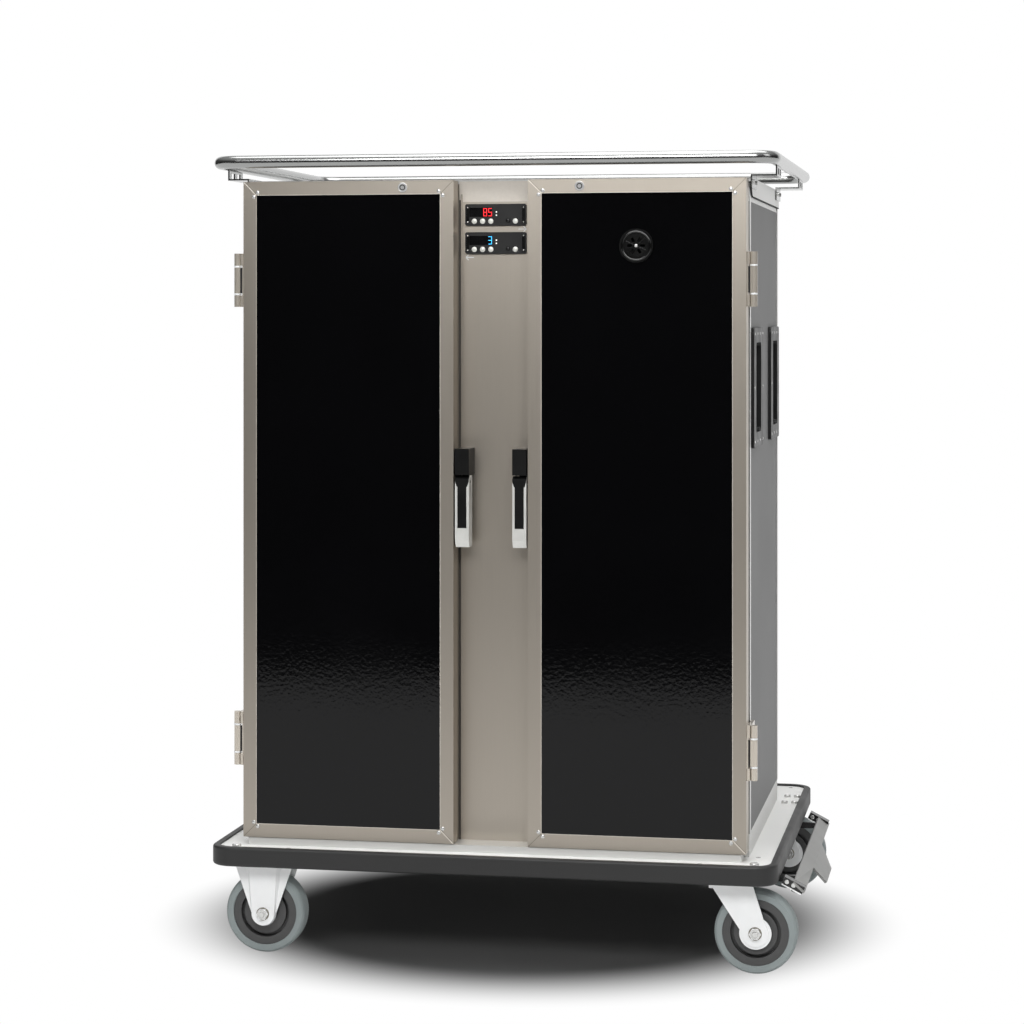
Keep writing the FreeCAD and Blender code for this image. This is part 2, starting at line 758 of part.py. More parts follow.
def centre_partition():
    panel = block(duct_width / 2, room_inner, front_y + post_sheet, room_back, room_floor, room_top)
    return group([panel, mirrored(panel)])


def centre_post():
    sheet = block(-room_inner, room_inner, front_y, front_y + post_sheet, deck_top + post_lift, cabinet_top)
    for z in controller_middles:
        sheet = sheet.cut(block(
            -controller_body_width / 2 - fit, controller_body_width / 2 + fit,
            front_y - overrun, front_y + overrun,
            z - controller_body_height / 2 - fit, z + controller_body_height / 2 + fit))
    return sheet


def corner_profiles():
    top = cabinet_top - cover_flange
    strips = [block(half_width, half_width + profile_thickness, y0, y1, room_floor, top)
              for y0, y1 in ((front_y, front_y + profile_width), (half_depth - profile_width, half_depth))]
    return group([handed(strip, side) for strip in strips for side in (-1, 1)])


def top_cover():
    sheet = block(-flange_outer, flange_outer, front_y - cover_sheet, half_depth + cover_sheet,
                  cabinet_top, cover_top)
    lip_low = cabinet_top - cover_lip
    lips = [block(-flange_outer, flange_outer, y0, y0 + cover_sheet, lip_low, cabinet_top)
            for y0 in (front_y - cover_sheet, half_depth)]
    low = cabinet_top - cover_flange
    flange = slab([Vec(flange_inner, front_y, cabinet_top), Vec(flange_inner, half_depth, cabinet_top),
                   Vec(flange_inner, half_depth, low), Vec(flange_inner, front_y + cover_slant, low),
                   Vec(flange_inner, front_y, lip_low)], Vec(cover_sheet, 0, 0))
    return sheet.fuse(lips + [flange, mirrored(flange)]).removeSplitter()


def guard_ring(radius):
    """Closed round ring with four bends, along the edge of the platform."""
    straight_x = guard_half_x - guard_corner
    straight_y = guard_half_y - guard_corner
    pieces = []
    for side in (-1, 1):
        pieces.append(rod(radius, Vec(guard_x - straight_x, side * guard_half_y, guard_z),
                          Vec(guard_x + straight_x, side * guard_half_y, guard_z)))
        pieces.append(rod(radius, Vec(guard_x + side * guard_half_x, -straight_y, guard_z),
                          Vec(guard_x + side * guard_half_x, straight_y, guard_z)))
    for quarter, (x, y) in enumerate(((1, 1), (-1, 1), (-1, -1), (1, -1))):
        bend = Part.makeTorus(guard_corner, radius, Vec(0, 0, 0), Vec(0, 0, 1), -180, 180, 90)
        bend.rotate(Vec(0, 0, 0), Vec(0, 0, 1), 90 * quarter)
        bend.translate(Vec(guard_x + x * straight_x, y * straight_y, guard_z))
        pieces.append(bend)
    return pieces[0].fuse(pieces[1:])


def guard_bracket(side, y):
    """Bent strap from the cover's flange out and up to the guard rail."""
    low = y - bracket_width / 2
    high = y + bracket_width / 2
    level = cover_top + bracket_lift
    foot = block(flange_outer, flange_outer + bracket_sheet, low, high,
                 level + bracket_sheet - bracket_leg, level + bracket_sheet)
    middle = guard_half_x + side * guard_x
    shelf = block(flange_outer, middle + bracket_sheet / 2, low, high, level, level + bracket_sheet)
    upright = block(middle - bracket_sheet / 2, middle + bracket_sheet / 2, low, high, level, guard_z)
    gap = (bracket_width - 2 * bracket_window_width) / 3
    for place in (low + gap, high - gap - bracket_window_width):
        upright = upright.cut(block(
            middle - overrun, middle + overrun, place, place + bracket_window_width,
            level + bracket_sheet, level + bracket_sheet + bracket_window_height))
    return handed(foot.fuse([shelf, upright]).removeSplitter(), side)


def guard_rail():
    brackets = [guard_bracket(side, y) for side in (-1, 1) for y in (-bracket_offset, bracket_offset)]
    outer = guard_ring(guard_radius).fuse(brackets).removeSplitter()
    return outer.cut(guard_ring(guard_radius - guard_wall))


def side_grip(y):
    """Bowl grip let into the wall at the push end."""
    plate = upright_plate(grip_width / 2, grip_height / 2, grip_corner,
                          half_width, half_width + grip_plate, y, grip_middle)
    bowl = upright_plate(grip_mouth_width / 2 + grip_shell, grip_mouth_height / 2 + grip_shell,
                         grip_mouth_corner, half_width - grip_depth, half_width, y, grip_middle)
    mouth = upright_plate(grip_mouth_width / 2, grip_mouth_height / 2, grip_mouth_corner,
                          half_width - grip_depth + grip_shell, half_width + grip_plate + overrun,
                          y, grip_middle)
    return plate.fuse(bowl).removeSplitter().cut(mouth)


def side_grips():
    return group([side_grip(y) for y in (-grip_offset, grip_offset)])


def grip_screws(y):
    """Screw heads round the edge of one grip: two rows and one at each side."""
    span = grip_width - 2 * grip_screw_inset
    rise = grip_height / 2 - grip_screw_inset
    step = span / (grip_screw_columns - 1)
    places = [(y - span / 2 + step * column, grip_middle + row * rise)
              for row in (-1, 1) for column in range(grip_screw_columns)]
    places += [(y + end * span / 2, grip_middle) for end in (-1, 1)]
    face = half_width + grip_plate
    return [rod(grip_screw_radius, Vec(face, screw_y, z), Vec(face + grip_screw_height, screw_y, z))
            for screw_y, z in places]


def bracket_screws(side, y):
    face = flange_outer + bracket_sheet
    z = cover_top + bracket_lift + bracket_sheet - bracket_leg / 2
    heads = [rod(bracket_screw_radius, Vec(face, y + end * bracket_screw_spacing / 2, z),
                 Vec(face + bracket_screw_height, y + end * bracket_screw_spacing / 2, z))
             for end in (-1, 1)]
    return [handed(head, side) for head in heads]


def deck_screw_places():
    """Screws in the deck beside the rear brake arm."""
    middle = brake_arm_offset + deck_screw_offset
    return [(brake_x + x * deck_screw_x / 2, middle + y * deck_screw_y / 2)
            for x in (-1, 1) for y in (-1, 1)]


def domed_head(radius, x, y):
    """Round bolt head on the deck."""
    head = rod(radius, Vec(x, y, deck_top), Vec(x, y, deck_top + bolt_head_height))
    top = [edge for edge in head.Edges if edge.BoundBox.ZMin > deck_top]
    return head.makeFillet(bolt_head_height / 2, top)


def deck_screw(x, y):
    shank = rod(deck_screw_radius, Vec(x, y, castor_height), Vec(x, y, deck_top))
    return shank.fuse(domed_head(deck_screw_head, x, y)).removeSplitter()


def deck_bolts(x, y):
    """Bolts of one castor: domed heads at the platform's front corners, flush ones elsewhere."""
    bolts = []
    for dx, dy in castor_corners():
        middle = Vec(x + dx, y + dy, 0)
        bolt = rod(castor_bolt_radius, middle + Vec(0, 0, plate_bottom), middle + Vec(0, 0, deck_top))
        if abs(middle.x) > half_width and middle.y + bolt_head_radius < front_y:
            bolt = bolt.fuse(domed_head(bolt_head_radius, middle.x, middle.y)).removeSplitter()
        nut = hexagon(bolt_head_radius, Vec(0, 0, 0), nut_height)
        nut.rotate(Vec(0, 0, 0), Vec(1, 0, 0), -90)
        nut.translate(middle + Vec(0, 0, plate_bottom))
        bolts.append(bolt.fuse(nut).removeSplitter())
    return bolts


def bolts_and_screws():
    heads = [bolt for x in (castor_left, castor_right) for y in castor_rows for bolt in deck_bolts(x, y)]
    heads += [deck_screw(x, y) for x, y in deck_screw_places()]
    heads += [head for y in (-grip_offset, grip_offset) for head in grip_screws(y)]
    heads += [head for side in (-1, 1) for y in (-bracket_offset, bracket_offset)
              for head in bracket_screws(side, y)]
    return group(heads)


def button_places(middle):
    """Button middles on one controller, left to right."""
    left = -controller_width / 2 + button_first
    places = [left + step * button_pitch for step in range(3)]
    places.append(controller_width / 2 - button_last)
    return [(x, middle - controller_height / 2 + button_rise) for x in places]


def button_rod(radius, x, z, stand_out, length):
    start = Vec(x, controller_front_y - stand_out, z)
    return rod(radius, start, start + Vec(0, length, 0))


def controller_case(middle):
    case = front_plate(controller_width / 2, controller_height / 2, controller_corner,
                       controller_front_y, front_y, 0, middle)
    body = block(-controller_body_width / 2, controller_body_width / 2, front_y,
                 front_y + controller_body_depth,
                 middle - controller_body_height / 2, middle + controller_body_height / 2)
    case = case.fuse(body).removeSplitter()
    left = -controller_width / 2 + window_left
    top = middle + controller_height / 2 - window_top
    case = case.cut(block(left, left + window_width, controller_front_y - overrun,
                          controller_front_y + window_depth, top - window_height, top))
    depth = button_length - button_stand_out + button_travel + axial_clearance
    for x, z in button_places(middle):
        case = case.cut(button_rod(button_radius + running_clearance, x, z, overrun, depth + overrun))
    return case


def controller_cases():
    return group([controller_case(middle) for middle in controller_middles])


def button(x, z):
    key = button_rod(button_radius, x, z, button_stand_out, button_length)
    front = [edge for edge in key.Edges if edge.BoundBox.YMax < controller_front_y]
    return key.makeFillet(button_edge, front)


def latch_housing():
    """Latch block on the right of the post, with the lug that carries the lever."""
    left = latch_x - latch_width / 2
    body = block(left, left + latch_width, door_front_y, front_y, latch_block_bottom, latch_top_height)
    spine_left = latch_x - latch_spine_width / 2
    spine_right = latch_x + latch_spine_width / 2
    spine = block(spine_left, spine_right, front_y - latch_spine_depth, front_y,
                  latch_block_bottom - latch_spine_drop, latch_block_bottom)
    pivot = Vec(spine_left, lever_pivot_y, lever_pivot_z)
    eye = rod(latch_lug_radius, pivot, pivot + Vec(latch_spine_width, 0, 0))
    lug = block(spine_left, spine_right, lever_pivot_y, front_y - latch_spine_depth,
                lever_pivot_z - latch_lug_radius, lever_pivot_z + latch_lug_radius)
    pin = rod(latch_pin_radius, Vec(left, lever_pivot_y, lever_pivot_z),
              Vec(left + latch_width, lever_pivot_y, lever_pivot_z))
    return body.fuse([spine, eye, lug, pin]).removeSplitter()


def latch_housings():
    return group([handed(latch_housing(), side) for side in (-1, 1)])


def latch_lever():
    """Pull lever: a channel with a solid foot, hung on the latch pin."""
    left = latch_x - latch_width / 2
    back = door_front_y + lever_depth
    bottom = lever_top - lever_length
    outline = [Vec(left, door_front_y, lever_top - lever_chamfer_drop),
               Vec(left, door_front_y + lever_chamfer_back, lever_top),
               Vec(left, back, lever_top), Vec(left, back, bottom),
               Vec(left, door_front_y + lever_foot_bevel / 2, bottom),
               Vec(left, door_front_y, bottom + lever_foot_bevel)]
    lever = slab(outline, Vec(latch_width, 0, 0))
    hollow = block(left + lever_side, left + latch_width - lever_side,
                   door_front_y + lever_front, back + overrun, bottom + lever_foot, lever_top + overrun)
    bore = rod(latch_pin_radius + running_clearance, Vec(left - overrun, lever_pivot_y, lever_pivot_z),
               Vec(left + latch_width + overrun, lever_pivot_y, lever_pivot_z))
    return lever.cut(hollow).cut(bore)


def door_rect(inset):
    """Door outline in the XZ plane, drawn in by an inset: left, right, bottom, top."""
    return door_inner + inset, half_width - inset, door_bottom + inset, door_top - inset


def ring_members(inset, width, y0, y1):
    """Four mitred strips round the door."""
    left, right, bottom, top = door_rect(inset)
    inner_left, inner_right, inner_bottom, inner_top = door_rect(inset + width)
    outer = [Vec(left, y0, bottom), Vec(right, y0, bottom), Vec(right, y0, top), Vec(left, y0, top)]
    inner = [Vec(inner_left, y0, inner_bottom), Vec(inner_right, y0, inner_bottom),
             Vec(inner_right, y0, inner_top), Vec(inner_left, y0, inner_top)]
    depth = Vec(0, y1 - y0, 0)
    return [slab([outer[k], outer[(k + 1) % 4], inner[(k + 1) % 4], inner[k]], depth) for k in range(4)]


def lock_bore(radius, depth):
    start = Vec(lock_x, door_front_y - overrun, lock_z)
    return rod(radius, start, Vec(lock_x, door_front_y + depth, lock_z))


def door_frame():
    members = ring_members(0, frame_width, door_front_y, door_back_y)
    bore = lock_bore(lock_radius + running_clearance, lock_depth + axial_clearance)
    return group([member.cut(bore) for member in members])


def vent_rod(radius, y0, y1):
    return rod(radius, Vec(vent_x, y0, vent_z), Vec(vent_x, y1, vent_z))


def door_panel(vented):
    left, right, bottom, top = door_rect(frame_width)
    panel = block(left, right, panel_front_y, panel_front_y + panel_thickness, bottom, top)
    return panel.cut(vent_rod(vent_tube_radius + fit, door_front_y, door_back_y)) if vented else panel


def door_liner(vented):
    left, right, bottom, top = door_rect(frame_width)
    liner = block(left, right, panel_front_y + panel_thickness, door_back_y, bottom, top)
    bore = vent_rod(vent_tube_radius + fit, door_front_y, door_back_y + overrun)
    return liner.cut(bore) if vented else liner


def door_gasket():
    depth = gasket_space - gasket_clearance
    return group(ring_members(gasket_inset, gasket_width, door_back_y, door_back_y + depth))


def knuckle_levels(middle):
    """Heights of the hinge parts from the bottom up."""
    bottom = middle - hinge_height / 2
    levels = {"bottom": (bottom, bottom + knuckle_bottom)}
    start = levels["bottom"][1] + axial_clearance
    levels["low_washer"] = (start, start + knuckle_washer)
    start = levels["low_washer"][1] + axial_clearance
    levels["middle"] = (start, start + knuckle_middle)
    start = levels["middle"][1] + axial_clearance
    levels["high_washer"] = (start, start + knuckle_washer)
    start = levels["high_washer"][1] + axial_clearance
    levels["top"] = (start, start + knuckle_top)
    return levels


def knuckle(level):
    low, high = level
    return rod(knuckle_radius, Vec(hinge_x, hinge_y, low), Vec(hinge_x, hinge_y, high))


def pin_bore(middle):
    low = Vec(hinge_x, hinge_y, middle - hinge_height / 2 - overrun)
    return rod(pin_radius + running_clearance, low, low + Vec(0, 0, hinge_height + 2 * overrun))


def door_hinge(middle):
    """Hinge leaf on the door's edge with the middle knuckle."""
    levels = knuckle_levels(middle)
    leaf = block(half_width, half_width + leaf_thickness, door_front_y + leaf_edge, door_back_y - leaf_edge,
                 levels["bottom"][0], levels["top"][1])
    low, high = levels["middle"]
    tab = block(half_width, hinge_x, hinge_y - knuckle_radius + leaf_thickness / 2, hinge_y, low, high)
    return leaf.fuse([tab, knuckle(levels["middle"])]).removeSplitter().cut(pin_bore(middle))


def door_hinges():
    return group([door_hinge(middle) for middle in hinge_middles])


def cabinet_hinge(middle):
    """Hinge leaf on the cabinet with two arms, and the pin with its washers."""
    levels = knuckle_levels(middle)
    seat = half_width + profile_thickness
    arm_inner = half_width + leaf_thickness + leaf_clearance
    arm_outer = arm_inner + hinge_arm
    base = block(seat, arm_outer, front_y + leaf_edge, front_y + profile_width - leaf_edge,
                 levels["bottom"][0], levels["top"][1])
    pieces = []
    for name in ("bottom", "top"):
        low, high = levels[name]
        pieces.append(block(arm_inner, arm_outer, hinge_y, front_y + leaf_edge, low, high))
        pieces.append(knuckle(levels[name]))
    leaf = base.fuse(pieces).removeSplitter().cut(pin_bore(middle))
    washers = [knuckle(levels[name]).cut(pin_bore(middle)) for name in ("low_washer", "high_washer")]
    pin = rod(pin_radius, Vec(hinge_x, hinge_y, levels["bottom"][0]),
              Vec(hinge_x, hinge_y, levels["top"][1]))
    return [leaf, pin] + washers


def cabinet_hinges():
    pieces = [piece for middle in hinge_middles for piece in cabinet_hinge(middle)]
    return group([handed(piece, side) for piece in pieces for side in (-1, 1)])


def lock_plug():
    plug = rod(lock_radius, Vec(lock_x, door_front_y - lock_stand_out, lock_z),
               Vec(lock_x, door_front_y + lock_depth, lock_z))
    front = door_front_y - lock_stand_out
    return plug.cut(block(lock_x - lock_slot_width / 2, lock_x + lock_slot_width / 2,
                          front - overrun, front + lock_slot_depth,
                          lock_z - lock_slot_length / 2, lock_z + lock_slot_length / 2))


def vent_slots(y0, y1):
    """Radial openings of the vent, the same in the ring and in the dial."""
    slots = []
    for step in range(vent_slot_count):
        slot = block(vent_slot_inner, vent_slot_outer, y0, y1, -vent_slot_width / 2, vent_slot_width / 2)
        slot.rotate(Vec(0, 0, 0), Vec(0, 1, 0), 360 * step / vent_slot_count)
        slot.translate(Vec(vent_x, 0, vent_z))
        slots.append(slot)
    return slots


def vent_ring():
    """Rim, slotted web, dial pin and through-tube of the steam vent."""
    front = panel_front_y - vent_ring_height
    web_back = panel_front_y
    rim = vent_rod(vent_ring_radius, front, web_back)
    rim = rim.cut(vent_rod(vent_dial_radius + vent_clearance, front - overrun, web_back - vent_web))
    rim = rim.cut(vent_slots(front - overrun, web_back + overrun)[0].fuse(
        vent_slots(front - overrun, web_back + overrun)[1:]))
    pin = vent_rod(vent_pin_radius, web_back - vent_web - vent_dial_height, web_back - vent_web)
    tube = vent_rod(vent_tube_radius, web_back, door_back_y)
    tube = tube.cut(vent_rod(vent_tube_radius - vent_tube_wall, web_back - overrun, door_back_y + overrun))
    return rim.fuse([pin, tube]).removeSplitter()


def vent_dial():
    back = panel_front_y - vent_web - axial_clearance
    front = back - vent_dial_height + axial_clearance
    dial = vent_rod(vent_dial_radius, front, back)
    dial = dial.cut(vent_rod(vent_pin_radius + running_clearance, front - overrun, back + overrun))
    slots = vent_slots(front - overrun, back + overrun)
    return dial.cut(slots[0].fuse(slots[1:]))


def runner(wall_x, inward, z, back):
    """Angle that a pan's rim slides on, its flange hanging down along one wall of a compartment."""
    front = front_y + runner_front_gap
    flange = block(wall_x, wall_x + inward * runner_sheet, front, back, z - runner_flange, z)
    ledge = block(wall_x, wall_x + inward * runner_ledge, front, back, z, z + runner_sheet)
    return flange.fuse(ledge).removeSplitter()


def tray_runners():
    back = baffle_front_y - runner_sheet
    pitch = (room_top - room_floor - runner_first) / runner_levels
    levels = [room_floor + runner_first + pitch * level for level in range(runner_levels)]
    right = [runner(room_inner, 1, z, back) for z in levels]
    right += [runner(room_outer, -1, z, back) for z in levels]
    return group(right + [mirrored(piece) for piece in right])


def air_baffle():
    """Fan cover at the back of a compartment: a sheet with a round mouth and two side returns."""
    left = fan_x - baffle_width / 2
    right = fan_x + baffle_width / 2
    low = room_floor + baffle_rise
    high = low + baffle_height
    sheet = block(left, right, baffle_front_y, baffle_front_y + baffle_sheet, low, high)
    sheet = sheet.cut(rod(fan_mouth_radius, Vec(fan_x, baffle_front_y - overrun, fan_z),
                          Vec(fan_x, baffle_front_y + overrun, fan_z)))
    returns = [block(x, x + baffle_sheet, baffle_front_y, room_back, low, high)
               for x in (left, right - baffle_sheet)]
    return sheet.fuse(returns).removeSplitter()


def air_baffles():
    return group([handed(air_baffle(), side) for side in (-1, 1)])


def fan_motor():
    body = rod(motor_radius, Vec(fan_x, room_back - motor_height, fan_z), Vec(fan_x, room_back, fan_z))
    shaft = rod(motor_shaft_radius, Vec(fan_x, fan_front_y, fan_z), Vec(fan_x, room_back, fan_z))
    return body.fuse(shaft).removeSplitter()


def heater():
    """Flattened heating rod in a ring about the fan, on two feet on the back wall."""
    front = fan_front_y + fan_width / 2 - heater_rod
    back = front + 2 * heater_rod
    ends = (Vec(fan_x, front, fan_z), Vec(fan_x, back, fan_z))
    ring = rod(heater_radius + heater_rod, *ends).cut(rod(heater_radius - heater_rod, *ends))
    rims = [edge for edge in ring.Edges if edge.BoundBox.YMax < back - heater_rod]
    ring = ring.makeFillet(heater_rod / 2, rims)
    feet = [rod(heater_foot, Vec(fan_x + side * heater_radius, back, fan_z),
                Vec(fan_x + side * heater_radius, room_back, fan_z)) for side in (-1, 1)]
    return ring.fuse(feet).removeSplitter()


def cooler():
    """Finned cooling block on the back wall below the fan, in the left compartment."""
    left = -fan_x - cooler_width / 2
    low = room_floor + baffle_rise + cooler_lift
    base = block(left, left + cooler_width, room_back - cooler_base, room_back, low, low + cooler_height)
    step = (cooler_width - cooler_fin) / (cooler_fins - 1)
    fins = [block(left + step * fin, left + step * fin + cooler_fin, room_back - cooler_depth, room_back,
                  low, low + cooler_height) for fin in range(cooler_fins)]
    return base.fuse(fins).removeSplitter()


def air_elements():
    return group([handed(fan_motor(), side) for side in (-1, 1)] + [heater(), cooler()])


def fan():
    """Circulation fan: a bored hub with pitched flat blades."""
    hub = rod(fan_hub_radius, Vec(0, 0, 0), Vec(0, fan_width, 0))
    blades = []
    for step in range(fan_blades):
        blade = block(0, fan_radius, -fan_width / 2, fan_width / 2, -fan_blade / 2, fan_blade / 2)
        blade.rotate(Vec(0, 0, 0), Vec(1, 0, 0), fan_blade_pitch)
        blade.translate(Vec(0, fan_width / 2, 0))
        blade.rotate(Vec(0, 0, 0), Vec(0, 1, 0), 360 * step / fan_blades)
        blades.append(blade)
    wheel = hub.fuse(blades).removeSplitter()
    bore = rod(motor_shaft_radius + running_clearance, Vec(0, -overrun, 0), Vec(0, fan_width + overrun, 0))
    wheel = wheel.cut(bore)
    wheel.translate(Vec(fan_x, fan_front_y, fan_z))
    return wheel


def door_parts(side, name):
    """All pieces of one door, drawn on the right and mirrored for the left."""
    vented = side > 0
    return {
        name + "_door_frame": handed(door_frame(), side),
        name + "_door_panel": handed(door_panel(vented), side),
        name + "_door_liner": handed(door_liner(vented), side),
        name + "_door_gasket": handed(door_gasket(), side),
        name + "_door_hinges": handed(door_hinges(), side),
        name + "_lock_plug": handed(lock_plug(), side),
        name + "_latch_lever": handed(latch_lever(), side),
        name + "_fan": handed(fan(), side),
    }


def all_parts():
    parts = {
        "deck": deck(), "bumper": bumper(), "chassis_frame": chassis_frame(),
        "castor_mounts": castor_mounts(),
        "front_swivel_fork": swivel_fork(castor_rows[0]), "rear_swivel_fork": swivel_fork(castor_rows[1]),
        "brake_bar": brake_bar(), "brake_arms": brake_arms(),
        "cabinet_floor": cabinet_floor(), "cabinet_roof": cabinet_roof(), "side_walls": side_walls(),
        "back_wall": back_wall(), "centre_partition": centre_partition(), "centre_post": centre_post(),
        "corner_profiles": corner_profiles(), "top_cover": top_cover(), "guard_rail": guard_rail(),
        "side_grips": side_grips(), "bolts_and_screws": bolts_and_screws(),
        "controller_cases": controller_cases(), "latch_housings": latch_housings(),
        "cabinet_hinges": cabinet_hinges(), "tray_runners": tray_runners(),
        "air_baffles": air_baffles(), "air_elements": air_elements(), "power_inlet": power_inlet(),
        "vent_ring": vent_ring(), "vent_dial": vent_dial(),
    }
    for side, name in ((-1, "left"), (1, "right")):
        parts.update(door_parts(side, name))
    for name, x, y in wheel_places():
        parts[name + "_tyre"] = tyre(x, y)
        parts[name + "_wheel_centre"] = wheel_centre(x, y)
    for row, middle in zip(("upper", "lower"), controller_middles):
        for count, (x, z) in enumerate(button_places(middle), start=1):
            parts["%s_button_%d" % (row, count)] = button(x, z)
    return parts


def main():
    os.makedirs("parts", exist_ok=True)
    for name, shape in all_parts().items():
        placed = shape.copy()
        placed.translate(Vec(-origin_x, -platform_y, 0))
        placed.exportStep(os.path.join("parts", name + ".step"))
        print(name, len(placed.Solids), "solids", "valid" if placed.isValid() else "INVALID")


if __name__ == "__main__":
    main()
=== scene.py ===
import json
import math
import bmesh
import bpy
from mathutils import Matrix, Vector

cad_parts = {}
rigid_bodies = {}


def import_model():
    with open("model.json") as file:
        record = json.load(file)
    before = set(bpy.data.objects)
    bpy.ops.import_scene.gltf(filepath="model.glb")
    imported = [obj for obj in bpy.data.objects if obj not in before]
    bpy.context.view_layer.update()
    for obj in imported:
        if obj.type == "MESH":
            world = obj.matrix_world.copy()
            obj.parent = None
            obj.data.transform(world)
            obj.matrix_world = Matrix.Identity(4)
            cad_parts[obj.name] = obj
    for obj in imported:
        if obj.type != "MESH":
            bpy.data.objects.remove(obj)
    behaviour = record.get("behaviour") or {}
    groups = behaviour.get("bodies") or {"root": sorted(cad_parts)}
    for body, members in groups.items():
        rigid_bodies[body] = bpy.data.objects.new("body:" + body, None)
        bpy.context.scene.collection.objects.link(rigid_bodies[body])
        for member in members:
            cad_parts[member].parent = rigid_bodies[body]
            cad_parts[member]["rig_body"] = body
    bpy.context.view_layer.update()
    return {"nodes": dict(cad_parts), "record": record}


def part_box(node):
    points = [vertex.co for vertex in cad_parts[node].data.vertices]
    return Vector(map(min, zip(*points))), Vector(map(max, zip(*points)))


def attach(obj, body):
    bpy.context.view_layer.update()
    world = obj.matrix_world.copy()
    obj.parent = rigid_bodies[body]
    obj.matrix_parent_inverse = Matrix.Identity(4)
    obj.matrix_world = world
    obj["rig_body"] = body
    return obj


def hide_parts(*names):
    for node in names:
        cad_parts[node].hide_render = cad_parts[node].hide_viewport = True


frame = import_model()
nodes = frame["nodes"]
mm = 0.001
print("frame loaded,", len(nodes), "nodes")


# small tools

def toLinear(code):  # sRGB hex to a linear colour
    parts = [int(code[k:k + 2], 16) / 255 for k in (1, 3, 5)]
    return [c / 12.92 if c <= 0.04045 else ((c + 0.055) / 1.055) ** 2.4 for c in parts] + [1.0]


def shaded(colour, share):  # a darker or lighter step of a linear colour
    return [min(1.0, c * share) for c in colour[:3]] + [1.0]


def addNode(tree, kind, values=None, links=None, stops=None, **settings):
    node = tree.nodes.new(kind)
    for name, value in settings.items():
        setattr(node, name, value)
    for socket, value in (values or {}).items():
        node.inputs[socket].default_value = value
    for socket, source in (links or {}).items():
        tree.links.new(source, node.inputs[socket])
    for number, (place, colour) in enumerate(stops or []):
        ramp = node.color_ramp.elements
        stop = ramp[number] if number < len(ramp) else ramp.new(place)
        stop.position = place
        stop.color = colour
    return node


def startSurface(name, values):  # a new material with its shader's plain values
    material = bpy.data.materials.new(name)
    material.use_nodes = True
    tree = material.node_tree
    shader = tree.nodes["Principled BSDF"]
    for socket, value in values.items():
        shader.inputs[socket].default_value = value
    return material, tree, shader


# materials: one function for each way that a surface is made, with the values its finishes share

brushed = {"cloudShare": 0.35, "darkAt": 0.35, "paleAt": 0.95, "depthMm": 0.05}


def brushedMetal(name, code, look):
    # metal that was belted, drawn or turned: fine lines with soft streaks across them
    colour = toLinear(code)
    material, tree, shader = startSurface(name, {"Metallic": look.get("metallic", 1.0)})
    place = addNode(tree, "ShaderNodeTexCoord")
    lines = addNode(tree, "ShaderNodeMapping", {"Scale": [1 / (step * mm) for step in look["lineMm"]]},
                    {"Vector": place.outputs["Object"]})
    fine = addNode(tree, "ShaderNodeTexNoise", {"Scale": 1.0, "Detail": 3.0, "Roughness": 0.6},
                   {"Vector": lines.outputs["Vector"]})
    clouds = addNode(tree, "ShaderNodeTexNoise", {"Scale": 1 / (look["cloudMm"] * mm), "Detail": 2.0},
                     {"Vector": place.outputs["Object"]})
    mixed = addNode(tree, "ShaderNodeMath", {1: brushed["cloudShare"]},
                    {0: clouds.outputs["Fac"], 2: fine.outputs["Fac"]}, operation="MULTIPLY_ADD")
    tint = addNode(tree, "ShaderNodeValToRGB", None, {"Fac": mixed.outputs["Value"]},
                   [(brushed["darkAt"], shaded(colour, 1 - look["contrast"])),
                    (brushed["paleAt"], shaded(colour, 1 + look["contrast"]))])
    polish = addNode(tree, "ShaderNodeMapRange", {"To Min": look["roughness"] - look["spread"],
                                                  "To Max": look["roughness"] + look["spread"]},
                     {"Value": fine.outputs["Fac"]})
    relief = addNode(tree, "ShaderNodeBump", {"Strength": look["bump"], "Distance": brushed["depthMm"] * mm},
                     {"Height": fine.outputs["Fac"]})
    tree.links.new(tint.outputs["Color"], shader.inputs["Base Color"])
    tree.links.new(polish.outputs["Result"], shader.inputs["Roughness"])
    tree.links.new(relief.outputs["Normal"], shader.inputs["Normal"])
    return material


moulded = {"darkAt": 0.3, "paleAt": 0.7}


def mouldedSkin(name, code, look):
    # moulded, cast or coated skin: a fine grain with slow changes in gloss
    colour = toLinear(code)
    material, tree, shader = startSurface(name, {"Metallic": look.get("metallic", 0.0),
                                                 "Specular IOR Level": look.get("specular", 0.5)})
    place = addNode(tree, "ShaderNodeTexCoord")
    grain = addNode(tree, "ShaderNodeTexNoise", {"Scale": 1 / (look["grainMm"] * mm), "Detail": 2.0},
                    {"Vector": place.outputs["Object"]})
    clouds = addNode(tree, "ShaderNodeTexNoise", {"Scale": 1 / (look["cloudMm"] * mm), "Detail": 3.0},
                     {"Vector": place.outputs["Object"]})
    tint = addNode(tree, "ShaderNodeValToRGB", None, {"Fac": clouds.outputs["Fac"]},
                   [(moulded["darkAt"], shaded(colour, 1 - look["contrast"])),
                    (moulded["paleAt"], shaded(colour, 1 + look["contrast"]))])
    polish = addNode(tree, "ShaderNodeMapRange",
                     {"From Min": moulded["darkAt"], "From Max": moulded["paleAt"],
                      "To Min": look["roughness"] - look["spread"],
                      "To Max": look["roughness"] + look["spread"]}, {"Value": clouds.outputs["Fac"]})
    relief = addNode(tree, "ShaderNodeBump", {"Strength": look["bump"], "Distance": look["depthMm"] * mm},
                     {"Height": grain.outputs["Fac"]})
    tree.links.new(tint.outputs["Color"], shader.inputs["Base Color"])
    tree.links.new(polish.outputs["Result"], shader.inputs["Roughness"])
    tree.links.new(relief.outputs["Normal"], shader.inputs["Normal"])
    return material


glowing = {"roughness": 0.4, "dimAt": 0.3, "fullAt": 0.7, "dimShare": 0.9}


